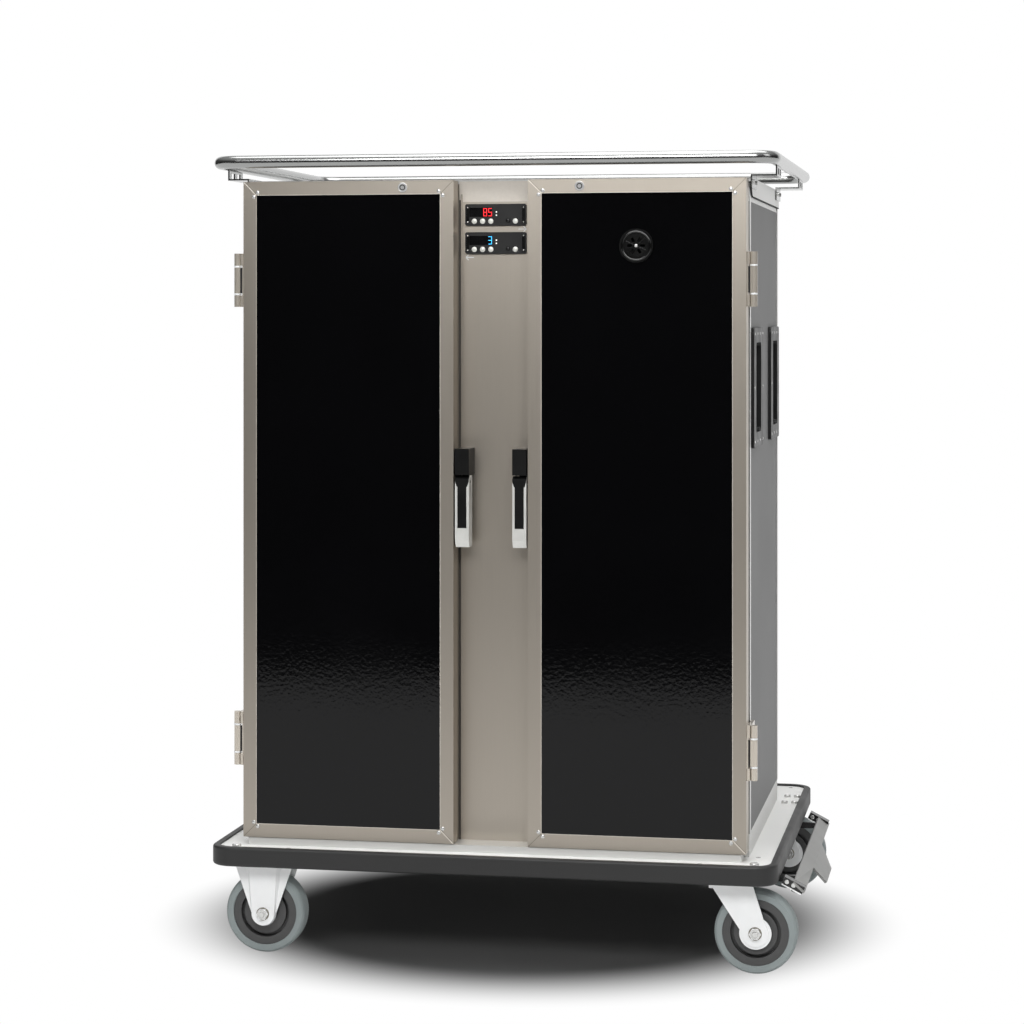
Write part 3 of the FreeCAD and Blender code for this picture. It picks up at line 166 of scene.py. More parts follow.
def litMark(name, code, look):
    # lamp or segment behind a clear lens: its own light, a little uneven
    colour = toLinear(code)
    material, tree, shader = startSurface(name, {"Roughness": glowing["roughness"],
                                                 "Emission Strength": look["strength"]})
    place = addNode(tree, "ShaderNodeTexCoord")
    spots = addNode(tree, "ShaderNodeTexNoise", {"Scale": 1 / (look["spotMm"] * mm)},
                    {"Vector": place.outputs["Object"]})
    tint = addNode(tree, "ShaderNodeValToRGB", None, {"Fac": spots.outputs["Fac"]},
                   [(glowing["dimAt"], shaded(colour, glowing["dimShare"])), (glowing["fullAt"], colour)])
    tree.links.new(tint.outputs["Color"], shader.inputs["Base Color"])
    tree.links.new(tint.outputs["Color"], shader.inputs["Emission Color"])
    return material


# belt lines, width and length in millimetres, drawn coarser than real ones so that they show
alongZ = (0.35, 0.35, 90.0)
alongX = (90.0, 0.35, 0.35)
finish = {
    # anodised aluminium, belted upright: warm grey with a silky upright line
    "champagne": brushedMetal("anodisedAluminiumChampagne", "#b7afa4", {
        "lineMm": alongZ, "cloudMm": 260, "contrast": 0.04, "roughness": 0.37, "spread": 0.05, "bump": 0.12}),
    # the same aluminium turned: smoother, with a tighter shine
    "champagne_turned": brushedMetal("anodisedAluminiumTurned", "#c6beb2", {
        "metallic": 0.5, "lineMm": (0.6, 0.6, 0.3), "cloudMm": 60, "contrast": 0.02, "roughness": 0.2,
        "spread": 0.03, "bump": 0.03}),
    # the same aluminium made pale and less metallic: a painted highlight, used for edge lines, mitre lines
    # and the post's top strip
    "champagne_painted_highlight": brushedMetal("anodisedAluminiumPaintedHighlight", "#e2dbd1", {
        "metallic": 0.3, "lineMm": (8.0, 8.0, 8.0), "cloudMm": 90, "contrast": 0.04, "roughness": 0.36,
        "spread": 0.05, "bump": 0.04}),
    # anodised aluminium, plain satin: pale and even
    "pale_profile": brushedMetal("anodisedAluminiumSatin", "#d9d9d7", {
        "lineMm": alongZ, "cloudMm": 200, "contrast": 0.03, "roughness": 0.34, "spread": 0.05, "bump": 0.08}),
    # stainless sheet, belted along the cart: almost white, soft lines run sideways
    "brushed_deck": brushedMetal("stainlessSteelBrushedDeck", "#f5f5f3", {
        "metallic": 0.05, "lineMm": alongX, "cloudMm": 180, "contrast": 0.03, "roughness": 0.5,
        "spread": 0.06, "bump": 0.1}),
    # the same sheet where it mirrors more: silver, lines run sideways
    "brushed_steel": brushedMetal("stainlessSteelBrushed", "#dededc", {
        "metallic": 0.65, "lineMm": alongX, "cloudMm": 220, "contrast": 0.03, "roughness": 0.42,
        "spread": 0.06, "bump": 0.1}),
    # stainless sheet as rolled: dull silver with faint clouds
    "inner_steel": brushedMetal("stainlessSteelRolled", "#c9cac8", {
        "lineMm": alongZ, "cloudMm": 120, "contrast": 0.05, "roughness": 0.38, "spread": 0.06, "bump": 0.06}),
    # steel that has been hot: darker, straw-tinted clouds
    "element_steel": brushedMetal("steelHeatTinted", "#8f8a80", {
        "lineMm": (1.2, 1.2, 1.2), "cloudMm": 40, "contrast": 0.12, "roughness": 0.4, "spread": 0.08,
        "bump": 0.1}),
    # stainless tube, polished: near mirror with fine draw lines
    "polished_rail": brushedMetal("stainlessSteelPolished", "#a2a3a2", {
        "lineMm": (60.0, 60.0, 0.4), "cloudMm": 150, "contrast": 0.03, "roughness": 0.2, "spread": 0.04,
        "bump": 0.03}),
    # chrome plate on a small turned part: bright and sharp, with a faint haze
    "chrome_lock": brushedMetal("chromePlated", "#e4e4e3", {
        "metallic": 0.5, "lineMm": (2.0, 2.0, 2.0), "cloudMm": 12, "contrast": 0.02, "roughness": 0.1,
        "spread": 0.03, "bump": 0.01}),
    # bright zinc on screws and rivets: silver points of light
    "bright_fixings": brushedMetal("steelZincBright", "#d4d4d2", {
        "metallic": 0.6, "lineMm": (1.5, 1.5, 1.5), "cloudMm": 10, "contrast": 0.04, "roughness": 0.15,
        "spread": 0.04, "bump": 0.03}),
    # die cast zinc with silver lacquer: pale satin, fine sparkle
    "cast_lever": mouldedSkin("zincDieCastSilver", "#d6d6d2", {
        "metallic": 0.35, "grainMm": 0.5, "cloudMm": 25, "contrast": 0.03, "roughness": 0.36, "spread": 0.05,
        "bump": 0.05, "depthMm": 0.03}),
    # pressed steel, bright zinc plated: nearly white, soft clouded shine
    "zinc": mouldedSkin("steelZincPlated", "#f3f4f4", {
        "metallic": 0.15, "grainMm": 1.2, "cloudMm": 35, "contrast": 0.02, "roughness": 0.36, "spread": 0.07,
        "bump": 0.05, "depthMm": 0.04}),
    # coated steel sheet: smooth grey, slight orange peel
    "grey_wall": mouldedSkin("steelSheetCoated", "#777777", {
        "specular": 0.15, "grainMm": 3.0, "cloudMm": 300, "contrast": 0.03, "roughness": 0.5, "spread": 0.03,
        "bump": 0.05, "depthMm": 0.08}),
    # powder coat on bent steel: grey, visible fine orange peel
    "brake_paint": mouldedSkin("steelPowderCoatedGrey", "#8c8c8a", {
        "grainMm": 1.4, "cloudMm": 60, "contrast": 0.04, "roughness": 0.42, "spread": 0.05, "bump": 0.14,
        "depthMm": 0.08}),
    # the same coat on the chassis: dark grey, a little duller
    "frame_paint": mouldedSkin("steelPowderCoatedDark", "#4a4b4d", {
        "grainMm": 1.4, "cloudMm": 80, "contrast": 0.05, "roughness": 0.45, "spread": 0.05, "bump": 0.14,
        "depthMm": 0.08}),
    # high-gloss laminate: deep black, long-wave ripple in the reflection
    "black_panel": mouldedSkin("laminateGlossBlack", "#050506", {
        "specular": 0.26, "grainMm": 7.0, "cloudMm": 200, "contrast": 0.1, "roughness": 0.07, "spread": 0.015,
        "bump": 1.0, "depthMm": 0.12}),
    # extruded vinyl: dark grey, dull, faint drawing marks
    "dark_bumper": mouldedSkin("vinylExtrudedDark", "#252525", {
        "grainMm": 0.8, "cloudMm": 90, "contrast": 0.04, "roughness": 0.52, "spread": 0.05, "bump": 0.1,
        "depthMm": 0.05}),
    # ABS with eroded grain: black, soft sheen
    "black_plastic": mouldedSkin("absMouldedBlack", "#161616", {
        "specular": 0.35, "grainMm": 0.6, "cloudMm": 40, "contrast": 0.06, "roughness": 0.42, "spread": 0.06,
        "bump": 0.16, "depthMm": 0.06}),
    # ABS from a smoother mould: deeper black, little light on it
    "vent_black": mouldedSkin("absMouldedHalfGloss", "#060606", {
        "specular": 0.16, "grainMm": 0.8, "cloudMm": 30, "contrast": 0.06, "roughness": 0.3, "spread": 0.05,
        "bump": 0.06, "depthMm": 0.04}),
    # ABS from a polished mould: black, with bright lines of light along its curves
    "vent_gloss": mouldedSkin("absMouldedPolished", "#060606", {
        "specular": 0.7, "grainMm": 2.0, "cloudMm": 30, "contrast": 0.06, "roughness": 0.1, "spread": 0.02,
        "bump": 0.02, "depthMm": 0.03}),
    # die cast zinc, coated black: fine grain, quiet sheen
    "latch_black": mouldedSkin("zincDieCastBlack", "#0a0a0a", {
        "specular": 0.22, "grainMm": 0.7, "cloudMm": 30, "contrast": 0.06, "roughness": 0.4, "spread": 0.05,
        "bump": 0.12, "depthMm": 0.05}),
    # plain polyamide: black with a waxy shine
    "black_clamp": mouldedSkin("polyamideMouldedBlack", "#1b1b1b", {
        "grainMm": 0.8, "cloudMm": 25, "contrast": 0.08, "roughness": 0.24, "spread": 0.06, "bump": 0.12,
        "depthMm": 0.05}),
    # glass-filled polyamide: dark grey, slightly mottled
    "wheel_plastic": mouldedSkin("polyamideMouldedGrey", "#464646", {
        "grainMm": 0.9, "cloudMm": 30, "contrast": 0.06, "roughness": 0.4, "spread": 0.05, "bump": 0.1,
        "depthMm": 0.05}),
    # thermoplastic rubber tread: blue-grey, matt, dusty clouds
    "grey_tyre": mouldedSkin("rubberMouldedGrey", "#8b9393", {
        "specular": 0.3, "grainMm": 0.9, "cloudMm": 35, "contrast": 0.04, "roughness": 0.62, "spread": 0.06,
        "bump": 0.16, "depthMm": 0.06}),
    # extruded sponge rubber: black and dull
    "gasket_rubber": mouldedSkin("rubberExtrudedBlack", "#1c1c1c", {
        "specular": 0.25, "grainMm": 0.7, "cloudMm": 20, "contrast": 0.08, "roughness": 0.7, "spread": 0.06,
        "bump": 0.2, "depthMm": 0.08}),
    # silver lacquer on a moulded key: pale, half gloss
    "button_silver": mouldedSkin("absSilverLacquered", "#dcdcd6", {
        "metallic": 0.3, "grainMm": 0.4, "cloudMm": 8, "contrast": 0.03, "roughness": 0.3, "spread": 0.04,
        "bump": 0.04, "depthMm": 0.03}),
    # smoked acrylic: almost black, glossy
    "window": mouldedSkin("acrylicSmoked", "#0b0b0c", {
        "grainMm": 6.0, "cloudMm": 20, "contrast": 0.1, "roughness": 0.12, "spread": 0.03, "bump": 0.02,
        "depthMm": 0.05}),
    # screen print: flat pale ink
    "ink": mouldedSkin("inkScreenPrinted", "#dfe2e4", {
        "grainMm": 0.4, "cloudMm": 6, "contrast": 0.03, "roughness": 0.5, "spread": 0.04, "bump": 0.05,
        "depthMm": 0.02}),
    # light-emitting segments in red and blue, and dimmer white signal lamps
    "red_lamp": litMark("segmentLampRed", "#ff2a34", {"strength": 1.0, "spotMm": 3}),
    "blue_lamp": litMark("segmentLampBlue", "#45c6ff", {"strength": 1.0, "spotMm": 3}),
    "white_lamp": litMark("signalLampWhite", "#f4f4f0", {"strength": 0.45, "spotMm": 2}),
}
print("materials made,", len(finish))


# CAD nodes keep their shape and get their finish and small broken edges
edgeForm = {"segments": 2, "hardFrom": math.radians(35), "weld": 0.002 * mm}
edgeMm = {  # nodes with broken edges, in millimetres
    "controller_cases": 0.7, "latch_housings": 1.2, "left_latch_lever": 1.2, "right_latch_lever": 1.2,
    "brake_bar": 0.8, "brake_arms": 1.0, "side_grips": 1.4, "vent_ring": 1.0, "vent_dial": 0.4,
    "power_inlet": 0.6,
}
turnedNodes = ("left_door_hinges", "right_door_hinges", "cabinet_hinges")
slotOf = {row["node"]: row["material_slot"] for row in frame["record"]["subparts"]}


def breakEdges(piece, width):
    edge = piece.modifiers.new("brokenEdges", "BEVEL")
    edge.width = width
    edge.segments = edgeForm["segments"]
    edge.limit_method = "ANGLE"
    edge.angle_limit = edgeForm["hardFrom"]
    edge.harden_normals = True


for name, node in nodes.items():
    node.data.materials.clear()
    node.data.materials.append(finish["champagne_turned" if name in turnedNodes else slotOf[name]])
    if name in edgeMm:
        weld = node.modifiers.new("joinEdges", "WELD")
        weld.merge_threshold = edgeForm["weld"]
        breakEdges(node, edgeMm[name] * mm)
print("CAD nodes dressed")


# mesh tools for the added pieces
forward = (0, -1, 0)  # out of the doors
upward = (0, 0, 1)
smoothUpTo = math.radians(32)
# a dome's outline, as shares of its radius and its height
domeShares = [(1.0, 0.0), (0.98, 0.25), (0.86, 0.6), (0.6, 0.86), (0.3, 0.97), (0.0, 1.0)]


def bodyOf(node):
    return nodes[node]["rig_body"]


def addBlock(mesh, low, high, turn=None):
    corners = [Vector((x, y, z)) for x in (low[0], high[0]) for y in (low[1], high[1])
               for z in (low[2], high[2])]
    made = [mesh.verts.new(turn @ corner if turn else corner) for corner in corners]
    for face in ((0, 1, 3, 2), (4, 6, 7, 5), (0, 4, 5, 1), (2, 3, 7, 6), (0, 2, 6, 4), (1, 5, 7, 3)):
        mesh.faces.new([made[k] for k in face])


def addTurned(mesh, profile, middle, axis, steps):  # profile rows are (radius, distance along the axis)
    along = Vector(axis).normalized()
    side = along.orthogonal().normalized()
    up = along.cross(side)
    turns = [2 * math.pi * k / steps for k in range(steps)]
    rings = []
    for radius, reach in profile:
        spot = Vector(middle) + along * reach
        if radius == 0:
            rings.append([mesh.verts.new(spot)])
            continue
        rings.append([mesh.verts.new(spot + (side * math.cos(t) + up * math.sin(t)) * radius) for t in turns])
    for first, second in zip(rings, rings[1:]):
        for k in range(steps):
            ring = [first[k % len(first)], first[(k + 1) % len(first)],
                    second[(k + 1) % len(second)], second[k % len(second)]]
            unique = [v for n, v in enumerate(ring) if v not in ring[:n]]
            if len(unique) > 2:
                mesh.faces.new(unique)


def scaled(shares, radius, height):  # a turned profile from shares of its radius and height
    return [(share * radius, rise * height) for share, rise in shares]


def drum(radius, length, edge):  # profile of a round bar with broken edges
    return [(0, 0), (radius - edge, 0), (radius, edge), (radius, length - edge), (radius - edge, length),
            (0, length)]


def flatRing(inner, outer, height):  # profile of a washer
    return [(inner, 0), (outer, 0), (outer, height), (inner, height), (inner, 0)]


def addPrism(mesh, nearCorners, farCorners):
    near = [mesh.verts.new(corner) for corner in nearCorners]
    far = [mesh.verts.new(corner) for corner in farCorners]
    mesh.faces.new(near)
    mesh.faces.new(far[::-1])
    for k in range(len(near)):
        n = (k + 1) % len(near)
        mesh.faces.new((near[n], near[k], far[k], far[n]))


def addOutline(mesh, points, back, front):  # flat outline in X and Z between two Y values
    addPrism(mesh, [(x, front, z) for x, z in points], [(x, back, z) for x, z in points])


def addSide(mesh, points, left, right):  # flat outline in Y and Z between two X values
    addPrism(mesh, [(left, y, z) for y, z in points], [(right, y, z) for y, z in points])


def addStroke(mesh, start, end, width, back, front, steps=6):  # flat bar with round ends
    a, b = Vector(start), Vector(end)
    heading = math.atan2(b.y - a.y, b.x - a.x)
    points = []
    for spot, first in ((b, heading - math.pi / 2), (a, heading + math.pi / 2)):
        for k in range(steps + 1):
            turn = first + math.pi * k / steps
            points.append((spot.x + math.cos(turn) * width / 2, spot.y + math.sin(turn) * width / 2))
    addOutline(mesh, points, back, front)


def finishPiece(name, mesh, material, body, edge=0.0):  # a mesh becomes a dressed piece
    bmesh.ops.recalc_face_normals(mesh, faces=mesh.faces)
    data = bpy.data.meshes.new(name)
    mesh.to_mesh(data)
    mesh.free()
    for face in data.polygons:
        face.use_smooth = True
    data.set_sharp_from_angle(angle=smoothUpTo)
    data.materials.append(finish[material])
    piece = bpy.data.objects.new(name, data)
    bpy.context.scene.collection.objects.link(piece)
    if edge:
        breakEdges(piece, edge)
    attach(piece, body)
    return piece


# door corners: two dome rivets and a mitre joint at each corner, a pale stroke along the mitre at the two
# corners that face the light as a painted highlight, and a pale strip round the panel as a painted edge
# highlight
doorCorner = {"frameWidth": 27 * mm, "rivetRadius": 4.2 * mm, "rivetHeight": 2.4 * mm, "rivetSteps": 24,
              "onMember": 5.6 * mm, "pastCorner": 2.4 * mm, "lineWidth": 2.0 * mm, "lineProud": 0.12 * mm,
              "lineStart": 1.5 * mm, "lineEnd": 1.0 * mm, "jointWidth": 1.2 * mm, "jointAside": 1.1 * mm,
              "highlightWidth": 0.9 * mm, "highlightProud": 0.2 * mm}
rivet = scaled(domeShares, doorCorner["rivetRadius"], doorCorner["rivetHeight"])
wide, past, on = (doorCorner[key] for key in ("frameWidth", "pastCorner", "onMember"))
for side in ("left", "right"):
    low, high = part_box(side + "_door_frame")
    back, front = low.y + doorCorner["lineProud"], low.y - doorCorner["lineProud"]
    rivets = bmesh.new()
    mitreHighlights = bmesh.new()
    joints = bmesh.new()
    for x, inX in ((low.x, 1), (high.x, -1)):
        for z, inZ in ((low.z, 1), (high.z, -1)):
            innerX, innerZ = x + inX * wide, z + inZ * wide
            for dx, dz in ((inX * past, -inZ * on), (-inX * on, inZ * past)):
                addTurned(rivets, rivet, (innerX + dx, low.y, innerZ + dz), forward, doorCorner["rivetSteps"])
            start = (x + inX * doorCorner["lineStart"], z + inZ * doorCorner["lineStart"])
            end = (innerX - inX * doorCorner["lineEnd"], innerZ - inZ * doorCorner["lineEnd"])
            if inX * inZ < 0:  # these two corners catch the light
                # painted highlight: a pale stroke along the mitre, only where these corners face the light
                addStroke(mitreHighlights, start, end, doorCorner["lineWidth"], back, front)
                aside = doorCorner["jointAside"]
                start, end = ((spot[0] + aside, spot[1] + aside) for spot in (start, end))
            addStroke(joints, start, end, doorCorner["jointWidth"], back, front)
    # painted highlight: a pale strip round the inner edge of the frame, on all four sides
    edge, proud = doorCorner["highlightWidth"], doorCorner["highlightProud"]
    x0, x1, z0, z1 = low.x + wide, high.x - wide, low.z + wide, high.z - wide
    edgeHighlight = bmesh.new()
    for a, b in (((x0 - edge, z0 - edge), (x0, z1 + edge)), ((x1, z0 - edge), (x1 + edge, z1 + edge)),
                 ((x0, z1), (x1, z1 + edge)), ((x0, z0 - edge), (x1, z0))):
        addBlock(edgeHighlight, (a[0], low.y - proud, a[1]), (b[0], low.y + proud, b[1]))
    finishPiece(side + "DoorEdgeHighlight", edgeHighlight, "champagne_painted_highlight", side + "_door")
    finishPiece(side + "DoorRivets", rivets, "bright_fixings", side + "_door")
    finishPiece(side + "DoorMitreHighlights", mitreHighlights, "champagne_painted_highlight", side + "_door")
    finishPiece(side + "DoorJoints", joints, "element_steel", side + "_door")
print("door corners made")


# post trims: a bead along each side with a dark strip beside it, painted as the shade in the gap to the door,
# and a strip over the cover's lip
postTrim = {"bead": (66.7 * mm, 71.5 * mm), "beadProud": 1.2 * mm, "beadEdge": 0.7 * mm,
            "joint": (71.5 * mm, 73.8 * mm), "jointProud": 0.3 * mm, "footGap": 1.0 * mm,
            "stripHalf": 73.5 * mm, "stripHeight": 8.6 * mm, "stripProud": 0.5 * mm, "stripSlope": 32 * mm}
low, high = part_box("centre_post")
middle = (low.x + high.x) / 2
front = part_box("top_cover")[0].y - postTrim["stripProud"]
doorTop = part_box("left_door_frame")[1].z
stripFoot = doorTop - postTrim["stripHeight"]
beads = bmesh.new()
joints = bmesh.new()
for way in (-1, 1):
    for mesh, span, proud in ((beads, "bead", "beadProud"), (joints, "joint", "jointProud")):
        x0, x1 = sorted(middle + way * place for place in postTrim[span])
        addBlock(mesh, (x0, low.y - postTrim[proud], low.z + postTrim["footGap"]), (x1, low.y, stripFoot))
finishPiece("postBeads", beads, "champagne", "cart", postTrim["beadEdge"])
# painted shade: the dark strips stand for the shade in the gap between door and post
finishPiece("postGapShades", joints, "gasket_rubber", "cart")
strip = bmesh.new()
addSide(strip, [(front, doorTop), (front, stripFoot), (low.y, stripFoot - postTrim["stripSlope"]),
                (low.y, doorTop)], middle - postTrim["stripHalf"], middle + postTrim["stripHalf"])
# painted highlight: the strip takes the pale finish so that its downward-sloping face does not read darker
finishPiece("postTopStrip", strip, "champagne_painted_highlight", "cart")
print("post trims made")


# hinges: bright washers between the knuckles, beads on the door's leaf and a dark strip beside the barrel,
# painted as the shade in the gap there
hingeTrim = {"barrel": 6.8 * mm, "height": 106 * mm, "bottom": 23 * mm, "middle": 51 * mm, "top": 24 * mm,
             "gap": 0.3 * mm, "washer": 3.4 * mm, "washerProud": 0.3 * mm, "washerSteps": 40,
             "bead": 3.5 * mm, "beadIn": 10.4 * mm, "beadFront": 4.5 * mm, "beadSteps": 32,
             "slot": (6.6 * mm, 10.6 * mm), "slotFront": 5.3 * mm, "slotDepth": 0.2 * mm}
barrel, gap, washer = hingeTrim["barrel"], hingeTrim["gap"], hingeTrim["washer"]
ring = drum(barrel + hingeTrim["washerProud"], washer, gap)
for side, inward in (("left", 1), ("right", -1)):
    low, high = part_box(side + "_door_hinges")
    axis = Vector((low.x + barrel if inward > 0 else high.x - barrel, low.y + barrel, 0))
    beadLine = axis + Vector((inward * hingeTrim["beadIn"], -hingeTrim["beadFront"], 0))
    gapShadeFace = axis.y - hingeTrim["slotFront"]
    washers = bmesh.new()
    beads = bmesh.new()
    gapShades = bmesh.new()
    for foot in (low.z, high.z - hingeTrim["height"]):
        head = foot + hingeTrim["height"]
        for z in (foot + hingeTrim["bottom"] + gap, head - hingeTrim["top"] - gap - washer):
            addTurned(washers, ring, axis + Vector((0, 0, z)), upward, hingeTrim["washerSteps"])
        for z, tall in ((foot, hingeTrim["bottom"]), (head - hingeTrim["top"], hingeTrim["top"])):
            addTurned(beads, drum(hingeTrim["bead"], tall, gap), beadLine + Vector((0, 0, z)), upward,
                      hingeTrim["beadSteps"])
        x0, x1 = sorted(axis.x + inward * reach for reach in hingeTrim["slot"])
        z = foot + hingeTrim["bottom"] + 2 * gap + washer
        addBlock(gapShades, (x0, gapShadeFace - hingeTrim["slotDepth"], z), (x1, gapShadeFace, z + hingeTrim["middle"]))
    finishPiece(side + "HingeWashers", washers, "zinc", "cart")
    finishPiece(side + "HingeBeads", beads, "champagne_turned", side + "_door")
    # painted shade: a dark strip beside the barrel stands for the shade in the gap between frame and hinge
    finishPiece(side + "HingeGapShades", gapShades, "gasket_rubber", side + "_door")
print("hinge trims made")


# lock collars round the lock plugs, and a dark flat ring on a plug's face, painted as the shade of a groove
lockCollar = {"outer": 9.5 * mm, "inner": 7.25 * mm, "height": 2.6 * mm, "edge": 0.8 * mm, "steps": 40,
              "groove": (3.9 * mm, 5.7 * mm), "grooveProud": 0.1 * mm}
outer, inner, height, edge = (lockCollar[key] for key in ("outer", "inner", "height", "edge"))
collarProfile = [(inner, 0), (outer, 0), (outer, height - edge), (outer - edge, height),
                 (inner + edge, height), (inner, height - edge), (inner, 0)]
grooveShadeProfile = flatRing(*lockCollar["groove"], lockCollar["grooveProud"])
for side in ("left", "right"):
    low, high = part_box(side + "_lock_plug")
    x, z = (low.x + high.x) / 2, (low.z + high.z) / 2
    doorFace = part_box(side + "_door_frame")[0].y
    collar = bmesh.new()
    addTurned(collar, collarProfile, (x, doorFace, z), forward, lockCollar["steps"])
    finishPiece(side + "LockCollar", collar, "chrome_lock", side + "_door")
    groove = bmesh.new()
    addTurned(groove, grooveShadeProfile, (x, low.y, z), forward, lockCollar["steps"])
    # painted shade: a flat dark ring stands for the shaded groove in the plug's face
    finishPiece(side + "LockGrooveShade", groove, "gasket_rubber", side + "_lock")
print("lock collars made")


# controllers, one above the other: window, figures, lamps, sensor lens and end strips
caseLow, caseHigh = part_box("controller_cases")
caseMiddle = (caseLow.x + caseHigh.x) / 2
caseFront = caseLow.y
caseHeight = 42.6 * mm
controllers = {
    "upper": {"middle": caseHigh.z - caseHeight / 2, "number": "85", "lamp": "red_lamp", "arrowWay": 1},
    "lower": {"middle": caseLow.z + caseHeight / 2, "number": "3", "lamp": "blue_lamp", "arrowWay": -1},
}
displayWindow = {"width": 45.7 * mm, "height": 18.4 * mm, "left": 8.7 * mm, "top": 7.1 * mm, "gap": 0.1 * mm,
                 "pocket": 0.8 * mm, "thickness": 0.5 * mm, "edge": 0.15 * mm}
windowLeft = caseLow.x + displayWindow["left"]
windowRight = windowLeft + displayWindow["width"]
pocketFloor = caseFront + displayWindow["pocket"]
glassFront = pocketFloor - displayWindow["thickness"]


def windowSpan(middle):  # bottom and top of a controller's window
    top = middle + caseHeight / 2 - displayWindow["top"]
    return top - displayWindow["height"], top


def makeWindow(row, middle):
    bottom, top = windowSpan(middle)
    gap = displayWindow["gap"]
    glass = bmesh.new()
    addBlock(glass, (windowLeft + gap, glassFront, bottom + gap), (windowRight - gap, pocketFloor, top - gap))
    finishPiece(row + "Window", glass, "window", "cart", displayWindow["edge"])


displayFigure = {"height": 14.4 * mm, "width": 6.0 * mm, "gap": 3.9 * mm, "stroke": 1.15 * mm,
                 "proud": 0.1 * mm}
segments = {"a": ((0, 1), (1, 1)), "b": ((1, 1), (1, 0.5)), "c": ((1, 0.5), (1, 0)), "d": ((0, 0), (1, 0)),
            "e": ((0, 0), (0, 0.5)), "f": ((0, 0.5), (0, 1)), "g": ((0, 0.5), (1, 0.5))}
figures = {"8": "abcdefg", "5": "acdfg", "3": "abcdg"}


def makeFigures(row, middle, number, lamp):
    bottom, top = windowSpan(middle)
    wide, tall, stroke = (displayFigure[key] for key in ("width", "height", "stroke"))
    step = wide + displayFigure["gap"]
    firstX = windowRight - stroke - wide - step * (len(number) - 1)
    baseZ = (top + bottom - tall) / 2
    shown = bmesh.new()
    for place, figure in enumerate(number):
        for key in figures[figure]:
            start, end = ((firstX + step * place + share * wide, baseZ + rise * tall)
                          for share, rise in segments[key])
            addStroke(shown, start, end, stroke, glassFront, glassFront - displayFigure["proud"])
    finishPiece(row + "Figures", shown, lamp, "cart")


signalLamp = {"size": 2.6 * mm, "x": 1.6 * mm, "rise": (5.4 * mm, -1.0 * mm), "proud": 0.4 * mm,
              "edge": 0.3 * mm}


def makeLamps(row, middle):
    half = signalLamp["size"] / 2
    x = caseMiddle + signalLamp["x"]
    lights = bmesh.new()
    for rise in signalLamp["rise"]:
        addBlock(lights, (x - half, caseFront - signalLamp["proud"], middle + rise - half),
                 (x + half, caseFront, middle + rise + half))
    finishPiece(row + "Lamps", lights, "white_lamp", "cart", signalLamp["edge"])


sensorLens = {"x": 25.1 * mm, "drop": 11.6 * mm, "radius": 3.9 * mm, "rimShare": 1.15, "rimRise": 0.6 * mm,
              "domeShare": 0.98, "domeRise": 1.6 * mm, "steps": 32}


def makeLens(row, middle):
    radius, rim = sensorLens["radius"], sensorLens["rimRise"]
    dome = scaled(domeShares, radius * sensorLens["domeShare"], sensorLens["domeRise"])
    outer = radius * sensorLens["rimShare"]
    lens = bmesh.new()
    addTurned(lens, [(outer, 0), (outer, rim), (radius, rim)] + [(reach, rim + rise) for reach, rise in dome],
              (caseMiddle + sensorLens["x"], caseFront, middle - sensorLens["drop"]), forward,
              sensorLens["steps"])
    finishPiece(row + "SensorLens", lens, "window", "cart")


endStrip = {"inset": 5.4 * mm, "halfWidth": 3.2 * mm, "halfHeight": 17.0 * mm, "proud": 0.9 * mm,
            "edge": 0.5 * mm, "screwIn": 2.6 * mm, "screwSteps": 20,
            "screwHead": [(1.4 * mm, 0), (1.3 * mm, 0.3 * mm), (0.7 * mm, 0.5 * mm), (0, 0.3 * mm)]}


def makeStrips(row, middle):
    front = caseFront - endStrip["proud"]
    half, tall = endStrip["halfWidth"], endStrip["halfHeight"]
    strips = bmesh.new()
    heads = bmesh.new()
    for x in (caseLow.x + endStrip["inset"], caseHigh.x - endStrip["inset"]):
        addBlock(strips, (x - half, front, middle - tall), (x + half, caseFront, middle + tall))
        for end in (-1, 1):
            addTurned(heads, endStrip["screwHead"], (x, front, middle + end * (tall - endStrip["screwIn"])),
                      forward, endStrip["screwSteps"])
    finishPiece(row + "EndStrips", strips, "vent_black", "cart", endStrip["edge"])
    finishPiece(row + "StripScrews", heads, "bright_fixings", "cart")


for row, look in controllers.items():
    makeWindow(row, look["middle"])
    makeFigures(row, look["middle"], look["number"], look["lamp"])
    makeLamps(row, look["middle"])
    makeLens(row, look["middle"])
    makeStrips(row, look["middle"])
print("controllers made")


# domed keys stand for the plain button solids
buttonCap = {"perRow": 4, "edgeShare": 0.94, "domeRise": 1.5 * mm, "steps": 32}
for row in controllers:
    for number in range(1, buttonCap["perRow"] + 1):
        name = "%s_button_%d" % (row, number)
        low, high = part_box(name)
        radius = (high.x - low.x) / 2
        start = high.y - low.y - buttonCap["domeRise"]
        dome = scaled(domeShares, radius * buttonCap["edgeShare"], buttonCap["domeRise"])
        profile = [(0, 0), (radius, 0), (radius, start)] + [(reach, start + rise) for reach, rise in dome]
        key = bmesh.new()
        addTurned(key, profile, ((low.x + high.x) / 2, high.y, (low.z + high.z) / 2), forward,
                  buttonCap["steps"])
        cap = finishPiece("%sKey%d" % (row, number), key, "button_silver", name)
        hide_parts(name)
print("keys made")


# printed arrows under the controllers
arrow = {"length": 15.5 * mm, "head": 5.0 * mm, "width": 1.5 * mm, "drop": 28.4 * mm, "inset": 0.8 * mm,
         "ink": 0.06 * mm}
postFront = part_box("centre_post")[0].y
arrows = bmesh.new()
for look in controllers.values():
    way = look["arrowWay"]
    tip = caseHigh.x - arrow["inset"] if way > 0 else caseLow.x + arrow["inset"]
    z = look["middle"] - arrow["drop"]
    for start in ((tip - way * arrow["length"], z), (tip - way * arrow["head"], z + arrow["head"]),
                  (tip - way * arrow["head"], z - arrow["head"])):
        addStroke(arrows, start, (tip, z), arrow["width"], postFront, postFront - arrow["ink"])
finishPiece("printedArrows", arrows, "ink", "cart")
print("arrows made")


